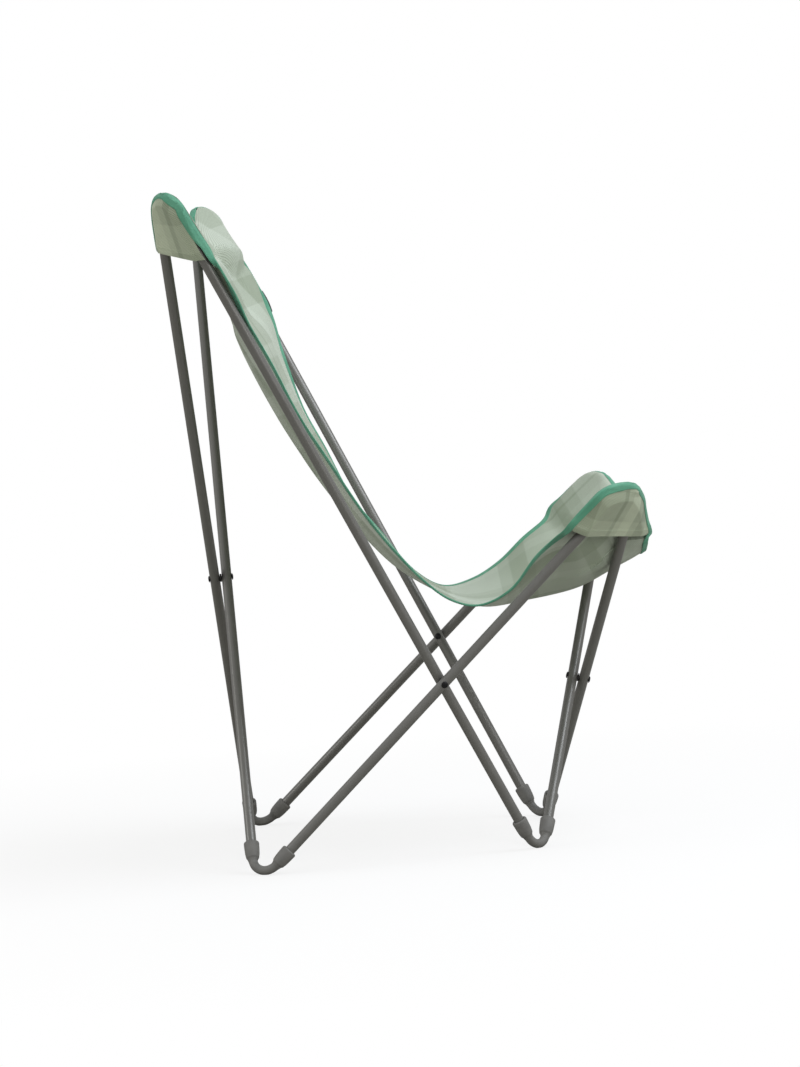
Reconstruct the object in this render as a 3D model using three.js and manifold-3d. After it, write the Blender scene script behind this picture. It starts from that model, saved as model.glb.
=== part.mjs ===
// Folding sling chair on eight straight tubes, in millimetres.
// The floor is z = 0, the sitter faces -Y, and -X is the sitter's right.
import * as THREE from 'three';
import Module from 'manifold-3d';

const wasm = await Module();
wasm.setup();

// Tubes and pivots
const tubeDia = 16;
const tubeWall = 1.2;
const pivotGap = 3.2;
const fit = 0.3;
const rivetShankDia = 6;
const rivetHeadDia = 10.5;
const rivetHeadRise = 2.4;
const spacerDia = 13;

// Corners, where the two tube axes of a corner meet
const backFootHalf = 315;
const backFootY = 290;
const frontFootHalf = 203;
const frontFootY = -174;
const backTopHalf = 444;
const backTopY = 349;
const backTopZ = 1090;
const frontTopHalf = 263;
const frontTopY = -346;
const frontTopZ = 585;

// Flexible elbows: sockets over the tubes at the feet, pegs inside the tubes at the upper corners
const footBend = 55;
const topBend = 70;
const rodDia = 14;
const pegLength = 25;
const socketDia = 22.5;
const socketLipDia = 24;
const socketLength = 30;
const socketBase = 4;
const footFlat = 0.5;

// Sling cloth
const clothThick = 2;
const bindingWidth = 13;
const bindingThick = 3.2;
const seamGap = 1.5;
const pouchRound = 14;
const pouchBulge = 13.5;
const pouchFade = 50;
const tubeClear = 2.7;
const backPress = 16;
const frontPress = 35;
const tabLength = 40;
const tabReach = 7;
const tabThick = 1.2;
const tabHeight = 894;
const creaseGap = 0.9;

// Pouches over the upper corners: how far the cloth stands above the elbow, and beyond the tubes' axes
// on its outer and its inner side, at the pouch's top and at its hem
const backPouchDepth = 150;
const backPouchTopR = 29;
const backPouchTopL = 23;
const backMargin = 12.5;
const backMarginWide = 18;
const backLift = 2;
const backBelly = 30;
const backHemTilt = 11;
const backSeam = 2;
const frontPouchDepth = 120;
const frontPouchTopR = 15.3;
const frontPouchTopL = 10.5;
const frontOuterTop = 52;
const frontOuterHem = 38;
const frontInnerTop = 16;
const frontInnerHem = 70;
const frontMarginL = 14;
const frontLift = 8;
const frontDrop = 6;
const frontHemTiltR = 6;
const frontHemTiltL = 20;
const frontSeam = 2.4;

// The back below its pouches: how far behind the line of the long tubes its cloth hangs at the most
const hangBehind = 6;
const hangLean = 0.04;
const hangTop = 968;
const hangTopFade = 30;
const hangLow = 825;
const hangLowFade = 75;

// Side edges of the sling below its corners: half width, then depth place and height on each side
const edgeUpper = { half: 423, right: [269, 926], left: [246, 922] };
const edgeShoulder = { half: 392, right: [233, 852], left: [214, 853] };
const edgeBlade = { half: 362, right: [203, 790], left: [199, 788] };
const edgeWaist = { half: 338, right: [164, 701], left: [170, 696] };
const edgeLower = { half: 320, right: [124, 630], left: [138, 630] };
const edgeBend = { half: 302, right: [82, 556], left: [98, 543] };
const edgeHip = { half: 286, right: [39, 493], left: [56, 487] };
const edgeSeat = { half: 270, right: [-10, 434], left: [2, 416] };
const edgeLow = { half: 258, right: [-50, 401], left: [-45, 388] };
const edgeThigh = { half: 251, right: [-92, 390], left: [-95, 398] };
const edgeRise = { half: 247, right: [-142, 411], left: [-140, 424] };
const edgeFront = { half: 249, right: [-184, 460], left: [-182, 461] };
const edgeTip = { half: 257, right: [-212, 485], left: [-210, 481] };

// End edges between their corners and their middle: half width, depth place, height
const topHang = { half: 300, y: 318, z: 968 };
const topBow = { half: 150, y: 304, z: 960 };
const frontBow = { half: 150, y: -367, z: 470 };

// Middle line of the sling, from the top edge to the front edge
const middleTop = { y: 308, z: 960 };
const middleUpper = { y: 284, z: 885 };
const middleShoulder = { y: 251, z: 793 };
const middleWaist = { y: 197, z: 675 };
const middleLower = { y: 133, z: 565 };
const middleBend = { y: 43, z: 451 };
const middleSeat = { y: -17, z: 408 };
const middleLow = { y: -99, z: 371 };
const middleRise = { y: -175, z: 375 };
const middleFront = { y: -265, z: 392 };
const middleLip = { y: -334, z: 425 };
const middleEdge = { y: -368, z: 443 };

// Counts and shares
const tubeSides = 20;
const rodSides = 16;
const bendSteps = 8;
const rivetSides = 16;
const settleRounds = 12;
const creaseShare = 0.65;
const backRows = 20;
const seatRows = 18;
const acrossHalf = 12;
const endShare = 0.22;
const rowCrowding = 1.6;
const rimShares = [0, 0.03, 0.11, 0.26, 0.48, 0.72, 0.93];
const rimSteps = 90;
const tabSteps = 4;
const pouchRows = 8;
const curveSteps = 40;
const pouchColumns = 14;

const tubeRadius = tubeDia / 2;
const stagger = (tubeDia + pivotGap) / 2;
const rodRadius = rodDia / 2;

const point = (x, y, z) => new THREE.Vector3(x, y, z);
const along = (start, direction, length) => start.clone().addScaledVector(direction, length);
const between = (start, end) => end.clone().sub(start).normalize();

// A ring of points round a centre, in the plane of two directions.
function ringOf(centre, first, second, radius, sides) {
  const ring = [];
  for (let side = 0; side < sides; side++) {
    const turn = (2 * Math.PI * side) / sides;
    ring.push(along(along(centre, first, radius * Math.cos(turn)), second, radius * Math.sin(turn)));
  }
  return ring;
}

// Six times the enclosed volume, positive when the faces look outward.
function signedVolume(points, faces) {
  let sum = 0;
  for (const [a, b, c] of faces) {
    sum += points[a].dot(points[b].clone().cross(points[c]));
  }
  return sum;
}

// Geometry of a closed body from its points and triangles, turned to face outward.
function solidOf(points, faces) {
  const flip = signedVolume(points, faces) < 0;
  const index = faces.flatMap(([a, b, c]) => (flip ? [a, c, b] : [a, b, c]));
  const geometry = new THREE.BufferGeometry();
  geometry.setAttribute('position', new THREE.Float32BufferAttribute(points.flatMap((p) => p.toArray()), 3));
  geometry.setIndex(index);
  geometry.computeVertexNormals();
  return geometry;
}

// A closed skin over a row of rings, capped at its ends or joined round.
function skin(rings, joined = false) {
  const sides = rings[0].length;
  const points = rings.flat();
  const faces = [];
  const last = joined ? rings.length : rings.length - 1;
  for (let row = 0; row < last; row++) {
    const next = (row + 1) % rings.length;
    for (let side = 0; side < sides; side++) {
      const beside = (side + 1) % sides;
      const corner = [row * sides + side, row * sides + beside, next * sides + beside, next * sides + side];
      faces.push([corner[0], corner[1], corner[2]]);
      faces.push([corner[0], corner[2], corner[3]]);
    }
  }
  if (!joined) {
    [0, rings.length - 1].forEach((row, end) => {
      const middle = rings[row].reduce((sum, p) => sum.add(p), point(0, 0, 0)).divideScalar(sides);
      points.push(middle);
      for (let side = 0; side < sides; side++) {
        const pair = [row * sides + side, row * sides + ((side + 1) % sides)];
        faces.push(end ? [points.length - 1, ...pair] : [points.length - 1, pair[1], pair[0]]);
      }
    });
  }
  return solidOf(points, faces);
}

function toManifold(geometry) {
  return new wasm.Manifold(new wasm.Mesh({
    numProp: 3,
    vertProperties: new Float32Array(geometry.attributes.position.array),
    triVerts: new Uint32Array(geometry.index.array),
  }));
}

function fromManifold(solid) {
  const mesh = solid.getMesh();
  const points = [];
  for (let n = 0; n < mesh.vertProperties.length; n += mesh.numProp) {
    points.push(point(...mesh.vertProperties.slice(n, n + 3)));
  }
  const faces = [];
  for (let n = 0; n < mesh.triVerts.length; n += 3) {
    faces.push([...mesh.triVerts.slice(n, n + 3)]);
  }
  return solidOf(points, faces);
}

const cut = (whole, tool) => fromManifold(toManifold(whole).subtract(toManifold(tool)));

// Two directions square to an axis.
function squareTo(axis) {
  const first = Math.abs(axis.z) < Math.SQRT1_2 ? point(0, 0, 1) : point(1, 0, 0);
  first.cross(axis).normalize();
  return [first, axis.clone().cross(first).normalize()];
}

// A turned solid from its profile of [place along the axis, radius].
function turned(centre, axis, profile, sides, joined = false) {
  const [first, second] = squareTo(axis);
  const ring = ([place, radius]) => ringOf(along(centre, axis, place), first, second, radius, sides);
  const rings = profile.map(ring);
  return skin(rings, joined);
}

// The eight corners. The two tubes of a crossing pass each other by a stagger at every corner.
const corners = {
  backFootR: point(-backFootHalf, backFootY - stagger, 0),
  backFootL: point(backFootHalf, backFootY + stagger, 0),
  frontFootR: point(-frontFootHalf, frontFootY + stagger, 0),
  frontFootL: point(frontFootHalf, frontFootY - stagger, 0),
  backTopR: point(-backTopHalf, backTopY + stagger, backTopZ),
  backTopL: point(backTopHalf, backTopY - stagger, backTopZ),
  frontTopR: point(-frontTopHalf, frontTopY - stagger, frontTopZ),
  frontTopL: point(frontTopHalf, frontTopY + stagger, frontTopZ),
};

// The tubes by their two corners.
const tubeEnds = {
  back_tube_forward: ['backFootR', 'backTopL'],
  back_tube_rear: ['backFootL', 'backTopR'],
  side_tube_short_r: ['backFootR', 'frontTopR'],
  side_tube_long_r: ['frontFootR', 'backTopR'],
  side_tube_short_l: ['backFootL', 'frontTopL'],
  side_tube_long_l: ['frontFootL', 'backTopL'],
  front_tube_rear: ['frontFootR', 'frontTopL'],
  front_tube_forward: ['frontFootL', 'frontTopR'],
};

const crossings = {
  back: ['back_tube_forward', 'back_tube_rear'],
  front: ['front_tube_forward', 'front_tube_rear'],
  sideR: ['side_tube_long_r', 'side_tube_short_r'],
  sideL: ['side_tube_long_l', 'side_tube_short_l'],
};

// Where two tubes pass: the near point on each axis, and the direction from the first to the second.
function crossing([one, other]) {
  const [a, b] = tubeEnds[one].map((name) => corners[name]);
  const [c, d] = tubeEnds[other].map((name) => corners[name]);
  const u = between(a, b);
  const v = between(c, d);
  const gap = c.clone().sub(a);
  const lean = u.dot(v);
  const open = 1 - lean * lean;
  const onFirst = along(a, u, (gap.dot(u) - lean * gap.dot(v)) / open);
  const onSecond = along(c, v, (lean * gap.dot(u) - gap.dot(v)) / open);
  return { onFirst, onSecond, axis: between(onFirst, onSecond), reach: onFirst.distanceTo(onSecond) };
}

// The elbow at a corner: its two tubes, half angle, bend radius and the plane that it lies in.
function elbowAt(name) {
  const corner = corners[name];
  const tubes = Object.keys(tubeEnds).filter((tube) => tubeEnds[tube].includes(name));
  const legs = tubes.map((tube) => between(corner, corners[tubeEnds[tube].find((end) => end !== name)]));
  const half = legs[0].angleTo(legs[1]) / 2;
  const radius = (corner.z > 0 ? topBend : footBend) / (Math.PI - 2 * half);
  const middle = legs[0].clone().add(legs[1]).normalize();
  const side = legs[1].clone().sub(legs[0]).normalize();
  const tangent = radius / Math.tan(half);
  const centre = along(corner, middle, radius / Math.sin(half));
  const normal = middle.clone().cross(side);
  return { corner, tubes, legs, half, radius, middle, side, normal, tangent, centre };
}

// Front feet move sideways until the side tubes pass at the pivot gap, and all feet go down to the floor.
function settleCorners() {
  for (let round = 0; round < settleRounds; round++) {
    corners.frontFootR.x += 2 * stagger - crossing(crossings.sideR).reach;
    corners.frontFootL.x += crossing(crossings.sideL).reach - 2 * stagger;
    for (const name of ['backFootR', 'backFootL', 'frontFootR', 'frontFootL']) {
      const { centre, radius, normal } = elbowAt(name);
      const lowest = centre.z - radius * Math.sqrt(1 - normal.z * normal.z) - rodRadius;
      corners[name].z -= lowest + footFlat;
    }
  }
}
settleCorners();

const meets = Object.fromEntries(Object.entries(crossings).map(([name, pair]) => [name, crossing(pair)]));

// A tube ends in the socket of its foot and at the shoulder of its upper elbow.
// It has a hole for the rivet through it.
function tubeSolid(name) {
  const [foot, top] = tubeEnds[name].map((end) => corners[end]);
  const axis = between(foot, top);
  const [footTangent, topTangent] = tubeEnds[name].map((end) => elbowAt(end).tangent);
  const low = footTangent + socketBase + fit;
  const high = topTangent + fit;
  const long = foot.distanceTo(top);
  const inner = tubeRadius - tubeWall;
  const profile = [[low, tubeRadius], [long - high, tubeRadius], [long - high, inner], [low, inner]];
  const whole = turned(foot, axis, profile, tubeSides, true);
  const key = Object.keys(crossings).find((place) => crossings[place].includes(name));
  const meet = meets[key];
  const at = crossings[key][0] === name ? meet.onFirst : meet.onSecond;
  const hole = rivetShankDia / 2 + fit;
  return cut(whole, turned(at, meet.axis, [[-tubeDia, hole], [tubeDia, hole]], rivetSides));
}

// The end of a foot's elbow: a cup over the tube, from its base inside out to the rod.
function socketProfile(tangent) {
  const lip = socketLipDia / 2;
  const cup = socketDia / 2;
  const bore = tubeRadius + fit;
  const mouth = tangent + socketLength;
  return [
    [tangent + socketBase, bore],
    [mouth, bore],
    [mouth, lip - fit],
    [mouth - fit, lip],
    [mouth - socketBase, lip],
    [mouth - 2 * socketBase, cup],
    [tangent + socketBase / 2, cup],
    [tangent, cup - socketBase / 2],
    [tangent - fit, rodRadius],
  ];
}

// The end of an upper elbow: a peg inside the tube, and the shoulder that the tube ends at.
function pegProfile(tangent) {
  const peg = tubeRadius - tubeWall - fit;
  const tip = tangent + pegLength;
  return [[tip, peg - fit], [tip - fit, peg], [tangent, peg], [tangent, rodRadius]];
}

// An elbow: a bent rod between the two ends that hold its tubes.
function elbowSolid(name) {
  const { corner, legs, half, radius, middle, normal, tangent, centre } = elbowAt(name);
  const profile = corner.z > 0 ? pegProfile(tangent) : socketProfile(tangent);
  const station = (at, path, size) => ringOf(at, normal, path.clone().cross(normal), size, rodSides);
  const arrive = legs[0].clone().negate();
  const socket = (leg, path) =>
    profile.map(([place, size]) => station(along(corner, leg, place), path, size));
  const first = socket(legs[0], arrive);
  const last = socket(legs[1], legs[1]).reverse();
  const bend = [];
  const sweep = Math.PI - 2 * half;
  const turnWay = Math.sign(legs[0].clone().negate().cross(legs[1]).dot(normal));
  for (let step = 1; step < bendSteps; step++) {
    const turn = (step / bendSteps - 1 / 2) * sweep * turnWay;
    const out = middle.clone().negate().applyAxisAngle(normal, turn);
    const path = out.clone().cross(normal).multiplyScalar(-turnWay);
    bend.push(station(along(centre, out, radius), path, rodRadius));
  }
  const body = skin([...first, ...bend, ...last]);
  return corner.z < 0 ? cut(body, floorBlock()) : body;
}

// Everything under the floor, to cut the feet flat.
function floorBlock() {
  const wide = 4 * backTopHalf;
  const block = new THREE.BoxGeometry(wide, wide, wide).translate(0, 0, -wide / 2);
  const points = [];
  const index = [];
  const place = block.attributes.position;
  for (let n = 0; n < place.count; n++) {
    const p = point(place.getX(n), place.getY(n), place.getZ(n));
    let found = points.findIndex((q) => q.distanceTo(p) < fit);
    if (found < 0) found = points.push(p) - 1;
    index.push(found);
  }
  const faces = [];
  for (let n = 0; n < block.index.count; n += 3) {
    faces.push([0, 1, 2].map((k) => index[block.index.getX(n + k)]));
  }
  return solidOf(points, faces);
}

// A rivet through both tubes of a crossing, with a domed head outside each.
function rivetSolid(meet) {
  const end = meet.reach / 2 + tubeRadius + fit;
  const profile = [...rivetHead(-end, -1), ...rivetHead(end, 1).reverse()];
  return turned(meetMiddle(meet), meet.axis, profile, rivetSides);
}

const meetMiddle = (meet) => meet.onFirst.clone().add(meet.onSecond).divideScalar(2);

function rivetHead(place, way) {
  const head = rivetHeadDia / 2;
  const tip = rivetShankDia / 4;
  return [
    [place + way * rivetHeadRise, tip],
    [place + (way * rivetHeadRise * 3) / 4, (head * 3) / 4],
    [place + (way * rivetHeadRise) / 3, head],
    [place, head],
    [place, rivetShankDia / 2],
  ];
}

// Half a rivet, through one tube only, where the fold opens the crossing.
function halfRivet(meet, way) {
  const inner = way * (pivotGap / 2 + fit);
  const end = way * (meet.reach / 2 + tubeRadius + fit);
  const profile = [...rivetHead(end, way), [way * (Math.abs(inner)), rivetShankDia / 2]];
  return turned(meetMiddle(meet), meet.axis, profile, rivetSides);
}

// A ring between the two tubes of a crossing.
function spacerSolid(meet) {
  const thick = meet.reach - tubeDia - 2 * fit;
  const hole = rivetShankDia / 2 + fit;
  const outer = spacerDia / 2;
  const profile = [[-thick / 2, outer], [thick / 2, outer], [thick / 2, hole], [-thick / 2, hole]];
  return turned(meetMiddle(meet), meet.axis, profile, tubeSides, true);
}

// Smooth step from 0 to 1.
const ease = (share) => {
  const inside = Math.min(1, Math.max(0, share));
  return inside * inside * (3 - 2 * inside);
};

// Rise of a quarter circle from 0 to 1.
const domed = (share) => {
  const inside = Math.min(1, Math.max(0, share));
  return Math.sqrt(inside * (2 - inside));
};

// The pouch at a top corner: how far down its middle line and across it a point is, and how far in front.
function pouchPlace(pouch, p) {
  const from = p.clone().sub(pouch.corner);
  return { down: from.dot(pouch.middle), across: from.dot(pouch.side), front: from.dot(pouch.front) };
}

// The pouch of a corner. Its outer and inner margins are each given at its top and at its hem.
function pouchAt(name, sizes) {
  const elbow = elbowAt(name);
  const seat = point(0, 0, backTopZ / 2);
  const front = elbow.normal.clone();
  if (front.dot(seat.sub(elbow.corner)) < 0) front.negate();
  const sideOut = elbow.side.clone();
  if (sideOut.x * elbow.corner.x < 0) sideOut.negate();
  const apex = elbow.radius / Math.sin(elbow.half) - elbow.radius;
  return { ...elbow, ...sizes, side: sideOut, front, start: apex - sizes.top };
}

// Share of the way from a pouch's top to its hem.
const depthShare = (pouch, down) =>
  Math.min(1, Math.max(0, (down - pouch.start) / (pouch.depth - pouch.start)));

// How far the cloth of a pouch stands beyond the tube's axis, on its outer or inner side.
function pouchMargin(pouch, down, way) {
  const [top, hem] = way > 0 ? pouch.outer : pouch.inner;
  return top + (hem - top) * depthShare(pouch, down);
}

// Half width of a pouch at a place down its middle line, round at its top, on its outer or inner side.
function pouchHalf(pouch, down, way) {
  const round = Math.min(1, Math.max(0, (down - pouch.start) / (2 * pouchRound)));
  return (down * Math.tan(pouch.half) + pouchMargin(pouch, down, way)) * Math.sqrt(round * (2 - round));
}

const pouchPoint = (pouch, down, across, front) =>
  along(along(along(pouch.corner, pouch.middle, down), pouch.side, across), pouch.front, front);

const backSizes = {
  depth: backPouchDepth, tilt: backHemTilt, press: backPress, seam: backSeam, belly: backBelly,
  liftOut: backLift, liftIn: 0, inner: [backMargin, backMargin],
};
const frontSizes = {
  depth: frontPouchDepth, press: frontPress, seam: frontSeam, belly: 0, liftIn: -frontDrop,
  inner: [frontInnerTop, frontInnerHem],
};
const frontR = {
  top: frontPouchTopR, tilt: frontHemTiltR, outer: [frontOuterTop, frontOuterHem], liftOut: frontLift,
};
const frontL = {
  top: frontPouchTopL, tilt: frontHemTiltL, outer: [frontMarginL, frontMarginL], liftOut: backLift,
};
const pouches = {
  backR: pouchAt('backTopR', { ...backSizes, top: backPouchTopR, outer: [backMargin, backMargin] }),
  backL: pouchAt('backTopL', { ...backSizes, top: backPouchTopL, outer: [backMarginWide, backMargin] }),
  frontR: pouchAt('frontTopR', { ...frontSizes, ...frontR }),
  frontL: pouchAt('frontTopL', { ...frontSizes, ...frontL }),
};

// How thick a pouch is at a point, from 0 at its rim to 1 over its tubes.
// It is flat between the tubes and round beyond them.
function pouchSwell(pouch, down, across) {
  const beyond = Math.abs(across) - pouchHalf(pouch, down, across);
  const inside = Math.min(1, Math.max(0, beyond / pouchMargin(pouch, down, across) + 1));
  return Math.sqrt(1 - inside * inside) * domed((down - pouch.start) / pouchRound);
}

// The rim of a pouch leaves the plane of its tubes from its elbow to its hem.
const rimLift = (pouch, down, way) =>
  (way > 0 ? pouch.liftOut : pouch.liftIn) * ease(depthShare(pouch, down));

// Point of the sling's outline round a pouch, on its outer side or on the side toward the middle.
const rimPoint = (pouch, down, way) =>
  pouchPoint(pouch, down, way * pouchHalf(pouch, down, way), rimLift(pouch, down, way));

function rimPoints(pouch, way) {
  return rimShares.map((share) => rimPoint(pouch, pouch.start + share * (pouch.depth - pouch.start), way));
}

const sideLine = [
  edgeUpper, edgeShoulder, edgeBlade, edgeWaist, edgeLower, edgeBend, edgeHip,
  edgeSeat, edgeLow, edgeThigh, edgeRise, edgeFront, edgeTip,
];
const middleLine = [
  middleTop, middleUpper, middleShoulder, middleWaist, middleLower, middleBend,
  middleSeat, middleLow, middleRise, middleFront, middleLip, middleEdge,
];

function curveThrough(points) {
  const curve = new THREE.CatmullRomCurve3(points, false, 'centripetal');
  curve.arcLengthDivisions = curveSteps * points.length;
  return curve;
}

function sideCurve(way) {
  const [back, front] = way < 0 ? [pouches.backR, pouches.frontR] : [pouches.backL, pouches.frontL];
  const free = sideLine.map(({ half, right, left }) => point(way * half, ...(way < 0 ? right : left)));
  return curveThrough([...rimPoints(back, 1), ...free, ...rimPoints(front, 1).reverse()]);
}

// An end edge from the right pouch to the left one, through its half points and its middle.
function acrossCurve(right, left, middle, hang) {
  const side = (way) => hang.map(({ half, y, z }) => point(way * half, y, z));
  const free = [...side(-1), point(0, middle.y, middle.z), ...side(1).reverse()];
  return curveThrough([...rimPoints(right, -1), ...free, ...rimPoints(left, -1).reverse()]);
}

const outline = {
  right: sideCurve(-1),
  left: sideCurve(1),
  top: acrossCurve(pouches.backR, pouches.backL, middleTop, [topHang, topBow]),
  front: acrossCurve(pouches.frontR, pouches.frontL, middleEdge, [frontBow]),
  middle: curveThrough(middleLine.map(({ y, z }) => point(0, y, z))),
};

const nearTop = (down) => 1 - ease(down / endShare);
const nearFront = (down) => 1 - ease((1 - down) / endShare);

// The sling's middle surface: across runs -1 to 1 from right to left, down runs 0 to 1 from top to front.
function slingPoint(across, down) {
  const share = (across + 1) / 2;
  const ruled = (place, part) => outline.right.getPointAt(place).lerp(outline.left.getPointAt(place), part);
  const p = ruled(down, share);
  const top = outline.top.getPointAt(share).sub(ruled(0, share));
  const front = outline.front.getPointAt(share).sub(ruled(1, share));
  p.addScaledVector(top, nearTop(down)).addScaledVector(front, nearFront(down));
  const centre = ruled(down, 1 / 2);
  centre.addScaledVector(outline.top.getPointAt(1 / 2).sub(ruled(0, 1 / 2)), nearTop(down));
  centre.addScaledVector(outline.front.getPointAt(1 / 2).sub(ruled(1, 1 / 2)), nearFront(down));
  const sag = outline.middle.getPointAt(down).sub(centre);
  p.addScaledVector(sag, 1 - across * across);
  return cleared(drawn(bulged(p)));
}

// Cloth over a pouch lies in front of the elbow and the tubes inside it.
function bulged(p) {
  for (const pouch of Object.values(pouches)) {
    const { down, across, front } = pouchPlace(pouch, p);
    const wide = Math.max(pouchMargin(pouch, down, across), pouchHalf(pouch, down, across));
    const share = Math.abs(across) / wide;
    const beyond = (p.distanceTo(pouch.corner) - pouch.depth) / pouchFade;
    const hold = (1 - ease(beyond)) * (1 - ease(share - 1));
    const swell = pouchSwell(pouch, down, across);
    const belly = pouch.belly * depthShare(pouch, down) ** 2 * Math.max(0, 1 - share * share);
    const wanted = (pouchBulge + belly) * swell + rimLift(pouch, down, across) * (1 - swell);
    p.addScaledVector(pouch.front, hold * (wanted - front));
  }
  return p;
}

// Below its pouches the back hangs in line with the long tubes: cloth behind that line comes forward.
function drawn(p) {
  const share = (p.z - backTopZ) / (backTopZ - corners.frontFootR.z);
  const line = backTopY + share * (backTopY - frontFootY);
  const limit = line + hangBehind + hangLean * (backTopHalf - Math.abs(p.x));
  const hold = ease((hangTop - p.z) / hangTopFade) * ease((p.z - hangLow) / hangLowFade);
  p.y -= hold * Math.max(0, p.y - limit);
  return p;
}

// Cloth stays in front of each tube that it passes.
function cleared(p) {
  for (const pouch of Object.values(pouches)) {
    for (const leg of pouch.legs) {
      const from = p.clone().sub(pouch.corner);
      const beside = Math.abs(from.dot(leg.clone().cross(pouch.front)));
      const need = tubeRadius + tubeClear;
      const hold = (1 - ease((beside - need) / pouch.press)) * ease(from.dot(leg) / pouch.tangent - 1);
      p.addScaledVector(pouch.front, hold * Math.max(0, need - from.dot(pouch.front)));
    }
  }
  return p;
}

// Share of the width or length that a strip along an edge takes.
function insetAcross(down) {
  const wide = outline.right.getPointAt(down).distanceTo(outline.left.getPointAt(down));
  return (2 * bindingWidth) / wide;
}

const insetDown = bindingWidth / outline.middle.getLength();

// A sheet of cloth over a grid of points, thick both ways from its middle.
function sheet(grid, thick) {
  const rows = grid.length;
  const columns = grid[0].length;
  const flat = grid.flat();
  const cells = [];
  for (let row = 0; row + 1 < rows; row++) {
    for (let column = 0; column + 1 < columns; column++) {
      const at = row * columns + column;
      cells.push([at, at + 1, at + columns + 1], [at, at + columns + 1, at + columns]);
    }
  }
  const normals = flat.map(() => point(0, 0, 0));
  for (const cell of cells) {
    const [a, b, c] = cell.map((n) => flat[n]);
    const face = b.clone().sub(a).cross(c.clone().sub(a)).normalize();
    cell.forEach((n) => normals[n].add(face));
  }
  normals.forEach((normal) => normal.normalize());
  const upper = flat.map((p, n) => along(p, normals[n], thick / 2));
  const lower = flat.map((p, n) => along(p, normals[n], -thick / 2));
  const faces = [...cells, ...cells.map(([a, b, c]) => [a + flat.length, c + flat.length, b + flat.length])];
  const rim = [];
  for (let column = 0; column < columns - 1; column++) rim.push(column);
  for (let row = 0; row < rows - 1; row++) rim.push(row * columns + columns - 1);
  for (let column = columns - 1; column > 0; column--) rim.push((rows - 1) * columns + column);
  for (let row = rows - 1; row > 0; row--) rim.push(row * columns);
  rim.forEach((here, n) => {
    const next = rim[(n + 1) % rim.length];
    faces.push([here, here + flat.length, next + flat.length], [here, next + flat.length, next]);
  });
  return solidOf([...upper, ...lower], faces);
}

// Places down the sling of a panel's rows, closer together at its end.
function rowPlaces(end, crease, rows) {
  const first = end + Math.sign(crease - end) * insetDown;
  const place = (row) => first + (crease - first) * (row / rows) ** rowCrowding;
  return Array.from({ length: rows + 1 }, (_, row) => place(row));
}

// Places across the sling of its columns, closer together at the sides.
const columnPlaces = Array.from({ length: 2 * acrossHalf + 1 }, (_, column) =>
  Math.sin((column / acrossHalf - 1) * Math.PI / 2));

// One panel of the sling, from its end to the crease, inside the binding.
function panelSolid(end, crease, rows) {
  const wider = 1 + seamGap / bindingWidth;
  const grid = rowPlaces(end, crease, rows).map((down, row) => {
    const place = row ? down : end + (down - end) * wider;
    return columnPlaces.map((across) => slingPoint(across * (1 - wider * insetAcross(down)), place));
  });
  return sheet(grid, clothThick);
}

// A strip along an edge, from rows of points that run from its outer to its inner side.
function stripSolid(rows, thick) {
  const rings = rows.map((row, n) => {
    const before = rows[Math.max(0, n - 1)][0];
    const after = rows[Math.min(rows.length - 1, n + 1)][0];
    const path = after.clone().sub(before);
    const lifted = (way) => row.map((p, k) => {
      const width = row[Math.min(row.length - 1, k + 1)].clone().sub(row[Math.max(0, k - 1)]);
      return along(p, path.clone().cross(width).normalize(), (way * thick) / 2);
    });
    return [...lifted(1), ...lifted(-1).reverse()];
  });
  return skin(rings);
}

// The edge tape of one panel: up one side, across its end and down the other side.
function bindingSolid(end, crease, rows) {
  const places = rowPlaces(end, crease, rows);
  const widths = [0, 1 / 2, 1];
  const sideRow = (way) => (down) =>
    widths.map((width) => slingPoint(way * (1 - width * insetAcross(down)), down));
  const endRow = (across) => widths.map((width) =>
    slingPoint(across * (1 - width * insetAcross(places[0])), end + (places[0] - end) * width));
  const right = places.slice(1).reverse().map(sideRow(-1));
  const left = places.slice(1).map(sideRow(1));
  return stripSolid([...right, ...columnPlaces.map(endRow), ...left], bindingThick);
}

// The sling's own edge beside a pouch, on its outer or inner side, read by its place down the pouch.
function edgeBeside(pouch, way) {
  const side = Math.sign(pouch.corner.x);
  const end = pouch.corner.z > frontTopZ ? 0 : 1;
  const curve = way < 0 ? (end ? outline.front : outline.top) : side < 0 ? outline.right : outline.left;
  const places = [];
  for (let n = 0; n <= rimSteps; n++) {
    const share = ((n / rimSteps) * 2 * pouch.depth) / curve.getLength();
    const p = way > 0 ? slingPoint(side, Math.abs(end - share)) : slingPoint(side * (1 - 2 * share), end);
    places.push(pouchPlace(pouch, p));
  }
  return (down) => {
    let n = 1;
    while (n < rimSteps && places[n].down < down) n++;
    const [before, after] = [places[n - 1], places[n]];
    const part = Math.min(1, Math.max(0, (down - before.down) / (after.down - before.down)));
    const mix = (key) => before[key] + (after[key] - before[key]) * part;
    return { across: mix('across'), front: mix('front') };
  };
}

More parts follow.
